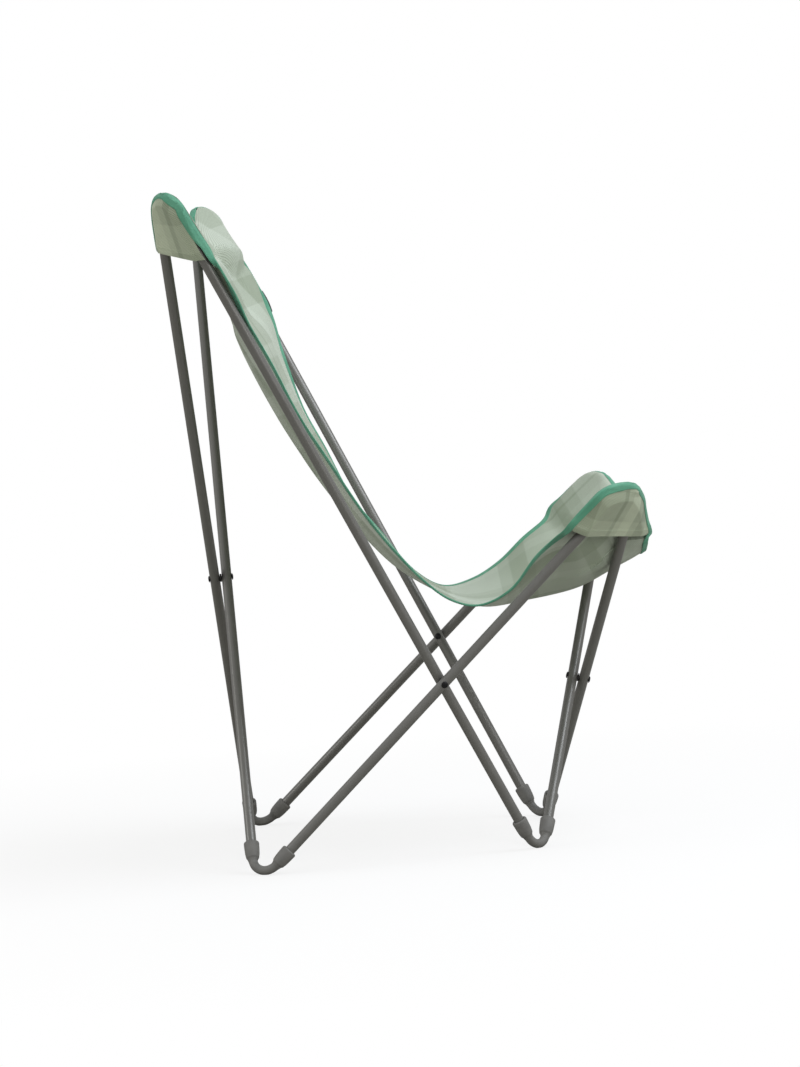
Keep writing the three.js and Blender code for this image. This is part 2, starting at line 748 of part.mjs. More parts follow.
// The patch that closes a pouch behind the elbow, from the sling's edges to its hem.
function pocketSolid(pouch) {
  const outer = edgeBeside(pouch, 1);
  const inner = edgeBeside(pouch, -1);
  const grid = [];
  for (let row = 0; row <= pouchRows; row++) {
    const line = [];
    for (let column = 0; column <= pouchColumns; column++) {
      const share = Math.sin((column / pouchColumns - 1 / 2) * Math.PI);
      const hem = pouch.depth - (pouch.tilt * (1 - share)) / 2;
      const down = pouch.start + fit + (hem - pouch.start - fit) * (row / pouchRows) ** 2;
      const [near, far] = share > 0 ? [outer(down), inner(down)] : [inner(down), outer(down)];
      const across = Math.abs(share) * near.across;
      const rim = near.front + ((far.front - near.front) * (1 - Math.abs(share))) / 2 - pouch.seam;
      const margin = Math.max(fit, Math.abs(near.across) - down * Math.tan(pouch.half));
      const inside = Math.min(1, (Math.abs(near.across) - Math.abs(across)) / margin);
      const swell = Math.cbrt(1 - (1 - inside) ** 3) * domed((down - pouch.start) / pouchRound);
      line.push(pouchPoint(pouch, down, across, rim * (1 - swell) - pouchBulge * swell));
    }
    grid.push(line);
  }
  return sheet(grid, clothThick);
}

// A bare tab sewn to the left edge tape, just outside it.
function tabSolid() {
  let down = 0;
  const step = 1 / outline.left.getLength();
  while (outline.left.getPointAt(down).z > tabHeight) down += step;
  const pairs = [];
  for (let n = 0; n <= tabSteps; n++) {
    const place = down + (n / tabSteps) * tabLength * step;
    const outer = slingPoint(1, place);
    const out = between(slingPoint(1 - insetAcross(place), place), outer);
    pairs.push([along(outer, out, tabReach), along(outer, out, 2 * fit)]);
  }
  return stripSolid(pairs, tabThick);
}

const paints = {
  tube: { color: 0x6e6d6a, roughness: 0.42, metalness: 0.55 },
  elbow: { color: 0x6b6a67, roughness: 0.62, metalness: 0 },
  rivet: { color: 0x1b1b1b, roughness: 0.45, metalness: 0.2 },
  spacer: { color: 0x151515, roughness: 0.7, metalness: 0 },
  cloth: { color: 0xb3bfab, roughness: 0.85, metalness: 0 },
  pocket: { color: 0xa8b49b, roughness: 0.85, metalness: 0 },
  binding: { color: 0x63ae8e, roughness: 0.8, metalness: 0 },
  tab: { color: 0x161616, roughness: 0.8, metalness: 0 },
};

const part = new THREE.Group();
part.name = 'folding_sling_chair';

function add(name, geometry, paint) {
  const mesh = new THREE.Mesh(geometry, new THREE.MeshStandardMaterial(paints[paint]));
  mesh.name = name;
  part.add(mesh);
}

const snake = (name) => name.replace(/[A-Z]/g, (letter) => `_${letter.toLowerCase()}`);

for (const name of Object.keys(tubeEnds)) add(name, tubeSolid(name), 'tube');
for (const name of Object.keys(corners)) add(`elbow_${snake(name)}`, elbowSolid(name), 'elbow');
for (const name of ['back', 'sideR', 'sideL']) add(`rivet_${snake(name)}`, rivetSolid(meets[name]), 'rivet');
add('rivet_front_forward', halfRivet(meets.front, -1), 'rivet');
add('rivet_front_rear', halfRivet(meets.front, 1), 'rivet');
for (const [name, meet] of Object.entries(meets)) add(`spacer_${snake(name)}`, spacerSolid(meet), 'spacer');

const crease = creaseGap / outline.middle.getLength() / 2;
add('sling_back', panelSolid(0, creaseShare - crease, backRows), 'cloth');
add('sling_seat', panelSolid(1, creaseShare + crease, seatRows), 'cloth');
add('binding_back', bindingSolid(0, creaseShare - crease, backRows), 'binding');
add('binding_seat', bindingSolid(1, creaseShare + crease, seatRows), 'binding');
for (const [name, pouch] of Object.entries(pouches)) {
  add(`pocket_${snake(name)}`, pocketSolid(pouch), 'pocket');
}
add('edge_tab', tabSolid(), 'tab');

export default part;
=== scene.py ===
import math

import bpy
import numpy as np
from mathutils import Matrix
from mathutils.bvhtree import BVHTree


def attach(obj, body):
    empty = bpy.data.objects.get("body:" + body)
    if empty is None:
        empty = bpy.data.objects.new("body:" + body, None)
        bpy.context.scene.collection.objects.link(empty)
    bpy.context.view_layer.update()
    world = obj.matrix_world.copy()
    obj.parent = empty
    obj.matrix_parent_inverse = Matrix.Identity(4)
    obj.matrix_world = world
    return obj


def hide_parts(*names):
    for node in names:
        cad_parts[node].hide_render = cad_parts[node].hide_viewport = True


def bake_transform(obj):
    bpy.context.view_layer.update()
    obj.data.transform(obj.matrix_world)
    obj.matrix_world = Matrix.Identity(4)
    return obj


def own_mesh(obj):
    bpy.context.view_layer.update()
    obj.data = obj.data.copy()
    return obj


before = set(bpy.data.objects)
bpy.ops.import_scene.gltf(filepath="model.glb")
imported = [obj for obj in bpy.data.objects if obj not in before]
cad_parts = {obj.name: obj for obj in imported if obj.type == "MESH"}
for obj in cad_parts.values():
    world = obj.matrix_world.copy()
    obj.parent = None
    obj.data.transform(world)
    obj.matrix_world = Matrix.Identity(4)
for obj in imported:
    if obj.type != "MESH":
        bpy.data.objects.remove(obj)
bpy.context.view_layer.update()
mm = 0.001
print("frame loaded:", len(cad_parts), "nodes")


def linear(hexColour):
    # sRGB hex to linear light: each channel c becomes ((c + 0.055) / 1.055) ^ 2.4
    channels = [int(hexColour[k:k + 2], 16) / 255 for k in (0, 2, 4)]
    return [((c + 0.055) / 1.055) ** 2.4 if c > 0.04045 else c / 12.92 for c in channels] + [1]


def addNode(tree, kind, links=None, **settings):
    # links: socket name or number -> a value, or another node's output to join
    node = tree.nodes.new(kind)
    for key, value in settings.items():
        setattr(node, key, value)
    for key, value in (links or {}).items():
        if isinstance(value, bpy.types.NodeSocket):
            tree.links.new(value, node.inputs[key])
        else:
            node.inputs[key].default_value = value
    return node


def newMaterial(name, values=None):
    # values: the shader's own settings, by the name of the socket
    material = bpy.data.materials.new(name)
    material.use_nodes = True
    tree = material.node_tree
    tree.nodes.clear()
    shader = addNode(tree, "ShaderNodeBsdfPrincipled", values)
    addNode(tree, "ShaderNodeOutputMaterial", {0: shader.outputs[0]})
    return material, tree, shader


def mapRange(tree, value, low, high, toLow=0.0, toHigh=1.0):
    return addNode(tree, "ShaderNodeMapRange", {0: value, 1: low, 2: high, 3: toLow, 4: toHigh}).outputs[0]


def mathNode(tree, operation, first, second=0.0):
    return addNode(tree, "ShaderNodeMath", {0: first, 1: second}, operation=operation).outputs[0]


def mixColour(tree, share, first, second):
    # a colour is a hex string or another node's output
    first, second = (linear(c) if isinstance(c, str) else c for c in (first, second))
    return addNode(tree, "ShaderNodeMix", {0: share, 6: first, 7: second}, data_type="RGBA").outputs[2]


def noise(tree, place, scale, detail):
    return addNode(tree, "ShaderNodeTexNoise", {"Vector": place, "Scale": scale, "Detail": detail}).outputs[0]


def objectPlace(tree):
    return addNode(tree, "ShaderNodeTexCoord").outputs["Object"]


def dress(tree, shader, colour, rough=None, height=None, strength=0.0, distance=0.0, invert=False):
    # joins a colour, a roughness and the height of a bump to the shader
    tree.links.new(colour, shader.inputs["Base Color"])
    if rough is not None:
        tree.links.new(rough, shader.inputs["Roughness"])
    if height is not None:
        links = {"Strength": strength, "Distance": distance, "Height": height}
        bump = addNode(tree, "ShaderNodeBump", links, invert=invert)
        tree.links.new(bump.outputs[0], shader.inputs["Normal"])


def unit(vectors):
    # each vector divided by its own length
    return vectors / np.maximum(np.linalg.norm(vectors, axis=-1, keepdims=True), 1e-12)


def ease(share):
    # smooth step from 0 to 1: 3 s^2 - 2 s^3
    inside = np.clip(share, 0, 1)
    return inside * inside * (3 - 2 * inside)


def domed(share):
    # rise of a quarter circle from 0 to 1
    inside = np.clip(share, 0, 1)
    return np.sqrt(inside * (2 - inside))


def gridFaces(rows, columns, closeRows=False, closeColumns=False):
    # the quads of a grid of points, as indices row * columns + column
    row = np.arange(rows if closeRows else rows - 1)[:, None]
    column = np.arange(columns if closeColumns else columns - 1)[None, :]
    below, beside = (row + 1) % rows, (column + 1) % columns
    corners = [row * columns + column, row * columns + beside, below * columns + beside, below * columns + column]
    return np.stack([np.broadcast_to(c, (row.shape[0], column.shape[1])) for c in corners], -1).reshape(-1, 4)


def addObject(name, data):
    made = bpy.data.objects.new(name, data)
    bpy.context.scene.collection.objects.link(made)
    return made


def makeMesh(name, points, quads, material, uv=None, triangles=()):
    # points and faces go into the mesh as whole arrays; uv is one pair for each point
    mesh = bpy.data.meshes.new(name)
    quads, triangles = (np.asarray(f, np.int32).reshape(-1, k) for f, k in ((quads, 4), (triangles, 3)))
    loops = np.concatenate([quads.ravel(), triangles.ravel()])
    totals = np.repeat([4, 3], [len(quads), len(triangles)]).astype(np.int32)
    mesh.vertices.add(len(points))
    mesh.loops.add(len(loops))
    mesh.polygons.add(len(totals))
    mesh.vertices.foreach_set("co", np.asarray(points, np.float32).ravel())
    mesh.loops.foreach_set("vertex_index", loops)
    mesh.polygons.foreach_set("loop_start", (np.cumsum(totals) - totals).astype(np.int32))
    mesh.polygons.foreach_set("loop_total", totals)
    mesh.polygons.foreach_set("use_smooth", np.ones(len(totals), bool))
    mesh.update(calc_edges=True)
    if uv is not None:
        layer = mesh.uv_layers.new(name="cloth")
        layer.data.foreach_set("uv", np.asarray(uv, np.float32)[loops].ravel())
    mesh.validate()
    mesh.materials.append(material)
    return addObject(name, mesh)


def outward(points, quads):
    # the same quads turned round where the closed body's volume comes out negative
    a, b, c, d = (points[quads[:, k]] for k in range(4))
    volume = np.einsum("ij,ij->i", a, np.cross(b, c)).sum() + np.einsum("ij,ij->i", a, np.cross(c, d)).sum()
    return quads[:, ::-1] if volume < 0 else quads


def sweptRings(name, rings, material, uv=None, joined=False):
    # rings: rows x sides x 3, each row a closed ring; the ends are closed with a centre point
    rows, sides = rings.shape[:2]
    points = rings.reshape(-1, 3)
    grid = gridFaces(rows, sides, closeRows=joined, closeColumns=True)
    quads = outward(points, grid)
    if joined:
        return makeMesh(name, points, quads, material, uv)
    side, last, centre = np.arange(sides), (rows - 1) * sides, np.full(sides, len(points))
    beside = (side + 1) % sides
    caps = [np.stack([centre, beside, side], -1), np.stack([centre + 1, last + side, last + beside], -1)]
    caps = np.concatenate(caps) if np.array_equal(quads, grid) else np.concatenate(caps)[:, ::-1]
    points = np.concatenate([points, rings[0].mean(0)[None], rings[-1].mean(0)[None]])
    if uv is not None:
        uv = np.concatenate([uv, uv[:1], uv[-1:]])
    return makeMesh(name, points, quads, material, uv, caps)


def lengthAlong(points):
    # the way from the first point of a line to each of its points
    return np.concatenate([[0], np.cumsum(np.linalg.norm(np.diff(points, axis=0), axis=1))])


def fullTurn(sides):
    return np.linspace(0, 2 * np.pi, sides, endpoint=False)


def squareTo(axis):
    # two directions square to an axis and to each other
    axis = unit(np.asarray(axis, float))
    helper = np.array([0.0, 0.0, 1.0]) if abs(axis[2]) < 0.7 else np.array([1.0, 0.0, 0.0])
    first = unit(np.cross(helper, axis))
    return first, np.cross(axis, first)


def turnedRings(centre, axis, profile, sides):
    # rings about an axis: centre + axis * place + radius * (first cos t + second sin t)
    first, second = squareTo(axis)
    place, radius = np.array(profile, float).T
    turn = fullTurn(sides)
    out = np.cos(turn)[:, None] * first + np.sin(turn)[:, None] * second
    return centre + place[:, None, None] * unit(np.asarray(axis, float)) + radius[:, None, None] * out


def roundedProfile(profile, steps=3, share=0.3):
    # each inner corner of a profile becomes a short arc: a quadratic curve between points near it
    profile = np.array(profile, float)
    kept = [profile[0]]
    for before, corner, after in zip(profile[:-2], profile[1:-1], profile[2:]):
        reach = share * min(np.linalg.norm(corner - before), np.linalg.norm(after - corner))
        a = corner + unit(before - corner) * reach
        b = corner + unit(after - corner) * reach
        t = np.linspace(0, 1, steps + 1)[:, None]
        kept.extend((1 - t) ** 2 * a + 2 * t * (1 - t) * corner + t ** 2 * b)
    return np.array(kept + [profile[-1]])


corners = {
    "backFootR": (-0.315, 0.2804, -0.018021),
    "backFootL": (0.315, 0.2996, -0.018021),
    "frontFootR": (-0.208189, -0.1644, -0.01781),
    "frontFootL": (0.197592, -0.1836, -0.017925),
    "backTopR": (-0.444, 0.3586, 1.090),
    "backTopL": (0.444, 0.3394, 1.090),
    "frontTopR": (-0.263, -0.3556, 0.585),
    "frontTopL": (0.263, -0.3364, 0.585),
}
corners = {name: np.array(place) for name, place in corners.items()}

tubes = {
    "back_tube_forward": ("backFootR", "backTopL", "back_bar_forward"),
    "back_tube_rear": ("backFootL", "backTopR", "back_bar_rear"),
    "side_tube_short_r": ("backFootR", "frontTopR", "short_bar_r"),
    "side_tube_long_r": ("frontFootR", "backTopR", "long_bar_r"),
    "side_tube_short_l": ("backFootL", "frontTopL", "short_bar_l"),
    "side_tube_long_l": ("frontFootL", "backTopL", "long_bar_l"),
    "front_tube_rear": ("frontFootR", "frontTopL", "front_bar_rear"),
    "front_tube_forward": ("frontFootL", "frontTopR", "front_bar_forward"),
}
tubeSize = {"dia": 0.016, "wall": 0.0012, "bevel": 0.0004, "sides": 48, "rows": 40}
elbowSize = {
    "bend": 0.055, "topBend": 0.070, "rod": 0.014, "socket": 0.0225, "lip": 0.024, "length": 0.030, "base": 0.004,
    "peg": 0.025, "fit": 0.0003, "sides": 40, "steps": 28, "lead": 0.004, "bore": 0.0005,
}
chairMiddle = np.array([0, 0, 0.545])


def elbowAt(name):
    # the elbow at a corner: a bend of fixed length, tangent to the axes of the two tubes that meet there
    corner = corners[name]
    names = [tube for tube, ends in tubes.items() if name in ends[:2]]
    legs = [unit(corners[tubes[t][1] if tubes[t][0] == name else tubes[t][0]] - corner) for t in names]
    half = math.acos(float(legs[0] @ legs[1])) / 2
    radius = elbowSize["bend" if corner[2] < 0 else "topBend"] / (math.pi - 2 * half)
    middle = unit(legs[0] + legs[1])
    side = unit(legs[1] - legs[0])
    return {
        "corner": corner, "legs": legs, "half": half, "radius": radius, "middle": middle, "side": side,
        "normal": np.cross(middle, side), "tangent": radius / math.tan(half),
        "centre": corner + middle * radius / math.sin(half),
    }


def powderCoatedSteel():
    # Polyester powder coat on steel tube: satin warm grey with a metallic fleck, a faint orange peel about
    # 1.5 mm across, and slightly rubbed, lighter patches.
    material, tree, shader = newMaterial("powderCoatedSteel", {"Metallic": 0.40})
    place = objectPlace(tree)
    fleck, rub, peel = noise(tree, place, 2400.0, 1.0), noise(tree, place, 34.0, 5.0), noise(tree, place, 650.0, 2.0)
    tone = mixColour(tree, mapRange(tree, fleck, 0.35, 0.7), "72716d", "7b7a76")
    colour = mixColour(tree, mapRange(tree, rub, 0.58, 0.8, 0, 0.3), tone, "8b8a86")
    dress(tree, shader, colour, mapRange(tree, rub, 0.3, 0.75, 0.30, 0.42), peel, 0.12, 0.0002)
    return material


def mouldedElastomer():
    # Thermoplastic rubber, moulded: matt grey with a fine spark-eroded grain about 0.8 mm across.
    material, tree, shader = newMaterial("mouldedElastomer")
    place = objectPlace(tree)
    grain, cloud = noise(tree, place, 1300.0, 3.0), noise(tree, place, 60.0, 3.0)
    colour = mixColour(tree, mapRange(tree, cloud, 0.3, 0.7), "6d6c69", "7a7975")
    dress(tree, shader, colour, mapRange(tree, grain, 0.3, 0.7, 0.55, 0.7), grain, 0.25, 0.0003)
    return material


def blackedSteel():
    # Steel rivet with black zinc plating: dark, a little glossy, paler where its dome is rubbed.
    material, tree, shader = newMaterial("blackedSteel", {"Metallic": 0.6})
    wear = noise(tree, objectPlace(tree), 900.0, 4.0)
    colour = mixColour(tree, mapRange(tree, wear, 0.55, 0.75, 0, 0.5), "1a1a1b", "3a3a3b")
    dress(tree, shader, colour, mapRange(tree, wear, 0.3, 0.7, 0.32, 0.5))
    return material


def blackNylon():
    # Moulded nylon spacer: black, matt.
    material, tree, shader = newMaterial("blackNylon")
    grain = noise(tree, objectPlace(tree), 1500.0, 2.0)
    dress(tree, shader, mixColour(tree, grain, "141414", "202020"), mapRange(tree, grain, 0.3, 0.7, 0.5, 0.65))
    return material


def clothPlace(tree):
    # the flat coordinates of cloth or tape in metres, and their two numbers apart
    place = addNode(tree, "ShaderNodeUVMap", uv_map="cloth").outputs[0]
    parts = addNode(tree, "ShaderNodeSeparateXYZ", {0: place}).outputs
    return place, parts[0], parts[1]


def crossedWaves(tree, across, down, spacing):
    # sin(across) * sin(down), with waves as far apart as the spacing: the ups and downs of a plain weave
    waves = [mathNode(tree, "SINE", mathNode(tree, "MULTIPLY", c, 2 * math.pi / spacing)) for c in (across, down)]
    return mathNode(tree, "MULTIPLY", *waves)


def meshWeave(name, tones, spacing, blocks):
    # PVC-coated polyester mesh, a plain weave. The real yarns are about 0.9 mm apart, which is too fine to show
    # in the render, so they are drawn 3 mm apart. Overlapping pale and dark bands give generic tonal blocks.
    material, tree, shader = newMaterial(name, {"Sheen Weight": 0.12, "Sheen Roughness": 0.5})
    place, across, down = clothPlace(tree)
    soft = 0.012

    def band(coordinate, period, shift, width):
        # 1 where the fractional part of (coordinate / period + shift) is under width, with a soft edge
        turn = mathNode(tree, "FRACT", mathNode(tree, "ADD", mathNode(tree, "DIVIDE", coordinate, period), shift))
        rise, fall = mapRange(tree, turn, 0.0, soft), mapRange(tree, turn, width, width + soft, 1.0, 0.0)
        return mathNode(tree, "MULTIPLY", rise, fall)

    total = None
    for coordinate, period, shift, width, weight in blocks:
        one = mathNode(tree, "MULTIPLY", band(across if coordinate == "u" else down, period, shift, width), weight)
        total = one if total is None else mathNode(tree, "ADD", total, one)
    colour = mixColour(tree, mapRange(tree, total, -0.65, 0.75), tones[0], tones[1])
    mottle = noise(tree, place, 9.0, 4.0)
    colour = mixColour(tree, mapRange(tree, mottle, 0.35, 0.7, 0, 0.3), colour, tones[2])
    weave = crossedWaves(tree, across, down, spacing)
    colour = mixColour(tree, mapRange(tree, weave, 0.25, 0.8, 0, 0.68), colour, tones[3])
    dress(tree, shader, colour, mapRange(tree, weave, -1.0, 1.0, 0.6, 0.85), weave, 0.55, 0.0004, invert=True)
    return material


def wovenTape(name, tones, rib):
    # Woven polyester binding tape: a plain weave with yarns about 0.55 mm apart, a little uneven in colour.
    material, tree, shader = newMaterial(name, {"Sheen Weight": 0.15, "Sheen Roughness": 0.5})
    place, along, profile = clothPlace(tree)
    weave = crossedWaves(tree, along, profile, rib)
    colour = mixColour(tree, mapRange(tree, noise(tree, place, 30.0, 4.0), 0.3, 0.7), tones[0], tones[1])
    colour = mixColour(tree, mapRange(tree, weave, 0.1, 1.0, 0, 0.45), colour, tones[2])
    dress(tree, shader, colour, mapRange(tree, weave, -1.0, 1.0, 0.7, 0.85), weave, 0.5, 0.0003)
    return material


def sewingThread(name, tones):
    # Spun polyester thread, slightly fuzzy, twisted about every millimetre.
    material, tree, shader = newMaterial(name, {"Roughness": 0.75})
    dress(tree, shader, mixColour(tree, noise(tree, objectPlace(tree), 1000.0, 2.0), *tones))
    return material


slingCloth = meshWeave("coatedMeshWeave", ("8f9b83", "c8d1c1", "adb8a6", "727d68"), 0.0030, (
    ("u", 0.310, 0.12, 0.34, 0.55), ("u", 0.173, 0.45, 0.30, -0.45), ("v", 0.262, 0.20, 0.42, 0.40),
    ("v", 0.147, 0.62, 0.35, -0.40), ("u", 0.097, 0.70, 0.22, 0.20),
))
patchCloth = meshWeave("coatedMeshPatch", ("7f8a72", "c8d2b6", "99a389", "5f6854"), 0.0030, (
    ("u", 0.120, 0.30, 0.36, 0.55), ("u", 0.071, 0.10, 0.34, -0.35), ("v", 0.105, 0.15, 0.45, 0.30),
))
tapeGreen = wovenTape("polyesterTape", ("4f9678", "66ab8b", "3c765f"), 0.0011)
tapeBlack = wovenTape("blackTape", ("131414", "1c1d1d", "0c0c0c"), 0.0011)
threadGreen = sewingThread("greenThread", ("4b8f73", "6fb896"))
threadPale = sewingThread("paleThread", ("aebb9f", "cdd7be"))
tubeCoat = powderCoatedSteel()
elbowRubber = mouldedElastomer()
rivetBlack = blackedSteel()
spacerBlack = blackNylon()
print("materials made")


def markSharp(piece, degrees):
    # edges whose faces meet at more than the angle are drawn sharp
    piece.data.set_sharp_from_angle(angle=math.radians(degrees))


def settle(piece, node, body, degrees):
    # what a finished piece is told: its sharp edges, the CAD node it stands for and its body
    markSharp(piece, degrees)
    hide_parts(node)
    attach(piece, body)
    return piece


def makeTube(name):
    # a straight round tube, from the base of its foot's socket to the shoulder of its upper elbow, open at both ends
    foot, top, body = tubes[name]
    start, end = corners[foot], corners[top]
    axis = unit(end - start)
    low = elbowAt(foot)["tangent"] + elbowSize["base"] + elbowSize["fit"]
    high = elbowAt(top)["tangent"] + elbowSize["fit"]
    long = float(np.linalg.norm(end - start))
    outer, bevel = tubeSize["dia"] / 2, tubeSize["bevel"]
    inner = outer - tubeSize["wall"]
    places = np.linspace(low + bevel, long - high - bevel, tubeSize["rows"])
    profile = [(low, outer - bevel)] + [(p, outer) for p in places] + [(long - high, outer - bevel)]
    profile += [(long - high, inner), (low, inner)]
    piece = sweptRings(name + "_coated", turnedRings(start, axis, profile, tubeSize["sides"]), tubeCoat, joined=True)
    settle(piece, name, body, 35)


for name in tubes:
    makeTube(name)
print("tubes made:", len(tubes))


crossings = {
    "back": ("back_tube_forward", "back_tube_rear"),
    "front": ("front_tube_forward", "front_tube_rear"),
    "side_r": ("side_tube_long_r", "side_tube_short_r"),
    "side_l": ("side_tube_long_l", "side_tube_short_l"),
}
rivetSize = {"shank": 0.006, "head": 0.0105, "rise": 0.0024, "rim": 0.0006, "edge": 0.0003, "tip": 0.0004,
             "fit": 0.0003, "gap": 0.0032, "spacer": 0.013, "sides": 36}


def crossing(pair):
    # the nearest points of two tube axes, from the two conditions that their join is square to both
    a, b = (corners[tubes[pair[0]][k]] for k in (0, 1))
    c, d = (corners[tubes[pair[1]][k]] for k in (0, 1))
    u, v = unit(b - a), unit(d - c)
    gap, lean = c - a, float(u @ v)
    onFirst = a + u * ((gap @ u) - lean * (gap @ v)) / (1 - lean * lean)
    onSecond = c + v * (lean * (gap @ u) - (gap @ v)) / (1 - lean * lean)
    return (onFirst + onSecond) / 2, unit(onSecond - onFirst), float(np.linalg.norm(onSecond - onFirst))


def headProfile(place, way):
    # a domed head as [place along the rivet, radius]: a flat seat, a small rim, then a low elliptical dome, whose
    # height is rim + (rise - rim) sin t at a radius of cos t
    radius, rise, rim, edge = rivetSize["head"] / 2, rivetSize["rise"], rivetSize["rim"], rivetSize["edge"]
    turn = np.linspace(0, math.pi / 2, 9)[:-1]
    dome = [(place + way * (rim + (rise - rim) * math.sin(t)), radius * math.cos(t)) for t in turn]
    seat = [(place, rivetSize["shank"] / 2), (place, radius - edge), (place + way * edge, radius)]
    return seat + dome + [(place + way * rise, rivetSize["tip"])]


def makeRivet(key, names, bodies):
    # turned about the line that joins the two tubes' axes at their crossing
    centre, axis, reach = crossing(crossings[key])
    end = reach / 2 + tubeSize["dia"] / 2 + rivetSize["fit"]
    if len(names) == 1:
        profiles = [headProfile(-end, -1)[::-1] + headProfile(end, 1)]
    else:  # one half in each tube, where the fold opens this crossing
        inner = rivetSize["gap"] / 2 + rivetSize["fit"]
        profiles = [headProfile(-end, -1)[::-1] + [(-inner, rivetSize["shank"] / 2)],
                    [(inner, rivetSize["shank"] / 2)] + headProfile(end, 1)]
    for name, body, profile in zip(names, bodies, profiles):
        piece = sweptRings(name + "_domed", turnedRings(centre, axis, profile, rivetSize["sides"]), rivetBlack)
        settle(piece, name, body, 40)


def makeSpacer(key, body):
    # a ring round the rivet that fills the space between two crossing tubes
    centre, axis, reach = crossing(crossings[key])
    thick = reach - tubeSize["dia"] - 2 * rivetSize["fit"]
    hole, outer = rivetSize["shank"] / 2 + rivetSize["fit"], rivetSize["spacer"] / 2
    edge = 0.0004
    profile = [(-thick / 2, hole), (-thick / 2, outer - edge), (-thick / 2 + edge, outer),
               (thick / 2 - edge, outer), (thick / 2, outer - edge), (thick / 2, hole)]
    piece = sweptRings(f"spacer_{key}_ring", turnedRings(centre, axis, profile, rivetSize["sides"]), spacerBlack,
                       joined=True)
    settle(piece, f"spacer_{key}", body, 30)


makeRivet("back", ["rivet_back"], ["back_pivot"])
makeRivet("side_r", ["rivet_side_r"], ["short_bar_r"])
makeRivet("side_l", ["rivet_side_l"], ["short_bar_l"])
makeRivet("front", ["rivet_front_forward", "rivet_front_rear"], ["front_bar_forward", "front_bar_rear"])
for key, body in (("back", "back_pivot"), ("front", "front_bar_rear"), ("side_r", "short_bar_r"),
                  ("side_l", "short_bar_l")):
    makeSpacer(key, body)
print("rivets and spacers made")


def elbowPath(elbow, profile):
    # centres, directions and radii: down one socket, round the bend on its arc, up the other socket
    corner, legs, radius, back = elbow["corner"], elbow["legs"], elbow["radius"], -elbow["middle"]
    place, size = np.array(profile, float).T
    first = corner + place[:, None] * legs[0]
    last = (corner + place[:, None] * legs[1])[::-1]
    turn = (0.5 - np.linspace(0, 1, elbowSize["steps"] + 1)[1:-1])[:, None] * (math.pi - 2 * elbow["half"])
    across = np.cross(elbow["normal"], back)
    out, along = np.cos(turn) * back + np.sin(turn) * across, np.sin(turn) * back - np.cos(turn) * across
    centres = np.concatenate([first, elbow["centre"] + radius * out, last])
    paths = np.concatenate([np.tile(-legs[0], (len(first), 1)), along, np.tile(legs[1], (len(last), 1))])
    sizes = np.concatenate([size, np.full(len(turn), elbowSize["rod"] / 2), size[::-1]])
    return centres, paths, sizes


# how a socket's outside steps down from its lip to the rod: each is a length along it or a fall in radius
socketShape = {"lipRound": 0.0016, "lipLong": 0.010, "lipFall": 0.0002, "cupFrom": 0.010, "shoulder": 0.003,
               "shoulderFall": 0.0012, "neck": 0.0005}
pegShape = {"point": 0.0008, "edge": 0.0003}


def socketProfile(tangent):
    # the end of a foot's elbow as [place along the tube, radius]: a cup over the tube, from its base inside out
    rod, cup, lip = elbowSize["rod"] / 2, elbowSize["socket"] / 2, elbowSize["lip"] / 2
    base, mouth = tangent + elbowSize["base"], tangent + elbowSize["length"]
    bore = tubeSize["dia"] / 2 + elbowSize["fit"]
    shape = socketShape
    return [
        (base, elbowSize["bore"]), (base, bore), (mouth, bore), (mouth, lip - shape["lipRound"]),
        (mouth - shape["lipRound"], lip), (mouth - shape["lipLong"], lip - shape["lipFall"]),
        (tangent + shape["cupFrom"], cup), (tangent + shape["shoulder"], cup - shape["shoulderFall"]),
        (tangent + shape["neck"], rod + shape["shoulderFall"]), (tangent - elbowSize["lead"], rod),
    ]


def pegProfile(tangent):
    # the end of an upper elbow: a peg inside the tube, and the shoulder that the tube ends at
    peg, rod = tubeSize["dia"] / 2 - tubeSize["wall"] - elbowSize["fit"], elbowSize["rod"] / 2
    tip, point, edge = tangent + elbowSize["peg"], pegShape["point"], pegShape["edge"]
    return [(tip, elbowSize["bore"]), (tip, peg - point), (tip - point, peg), (tangent, peg), (tangent, rod - edge),
            (tangent - edge, rod), (tangent - elbowSize["lead"], rod)]


def makeElbow(corner, name):
    # a swept round section: at each station, centre + size * (normal cos t + (path x normal) sin t)
    elbow = elbowAt(corner)
    ends = socketProfile if elbow["corner"][2] < 0 else pegProfile
    centres, paths, sizes = elbowPath(elbow, roundedProfile(ends(elbow["tangent"])))
    turn = fullTurn(elbowSize["sides"])
    side = np.cross(paths, elbow["normal"])
    spread = np.cos(turn)[:, None] * elbow["normal"] + np.sin(turn)[:, None] * side[:, None, :]
    rings = centres[:, None, :] + sizes[:, None, None] * spread
    if elbow["corner"][2] < 0:
        rings[..., 2] = np.maximum(rings[..., 2], 0)  # pressed flat where it stands on the floor
    piece = sweptRings(name + "_moulded", rings, elbowRubber)
    markSharp(piece, 50)
    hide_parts(name)
    return piece, elbow


footElbows = {
    "backFootR": ("elbow_back_foot_r", "back_bar_forward", "short_bar_r"),
    "backFootL": ("elbow_back_foot_l", "back_bar_rear", "short_bar_l"),
    "frontFootR": ("elbow_front_foot_r", "long_bar_r", "front_bar_rear"),
    "frontFootL": ("elbow_front_foot_l", "long_bar_l", "front_bar_forward"),
}
topElbows = {
    "backTopR": ("elbow_back_top_r", "back_bar_rear"),
    "backTopL": ("elbow_back_top_l", "back_bar_forward"),
    "frontTopR": ("elbow_front_top_r", "short_bar_r"),
    "frontTopL": ("elbow_front_top_l", "short_bar_l"),
}
for corner, (name, one, other) in footElbows.items():
    piece, elbow = makeElbow(corner, name)
    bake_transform(piece)
for corner, (name, body) in topElbows.items():
    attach(makeElbow(corner, name)[0], body)
print("elbows made")


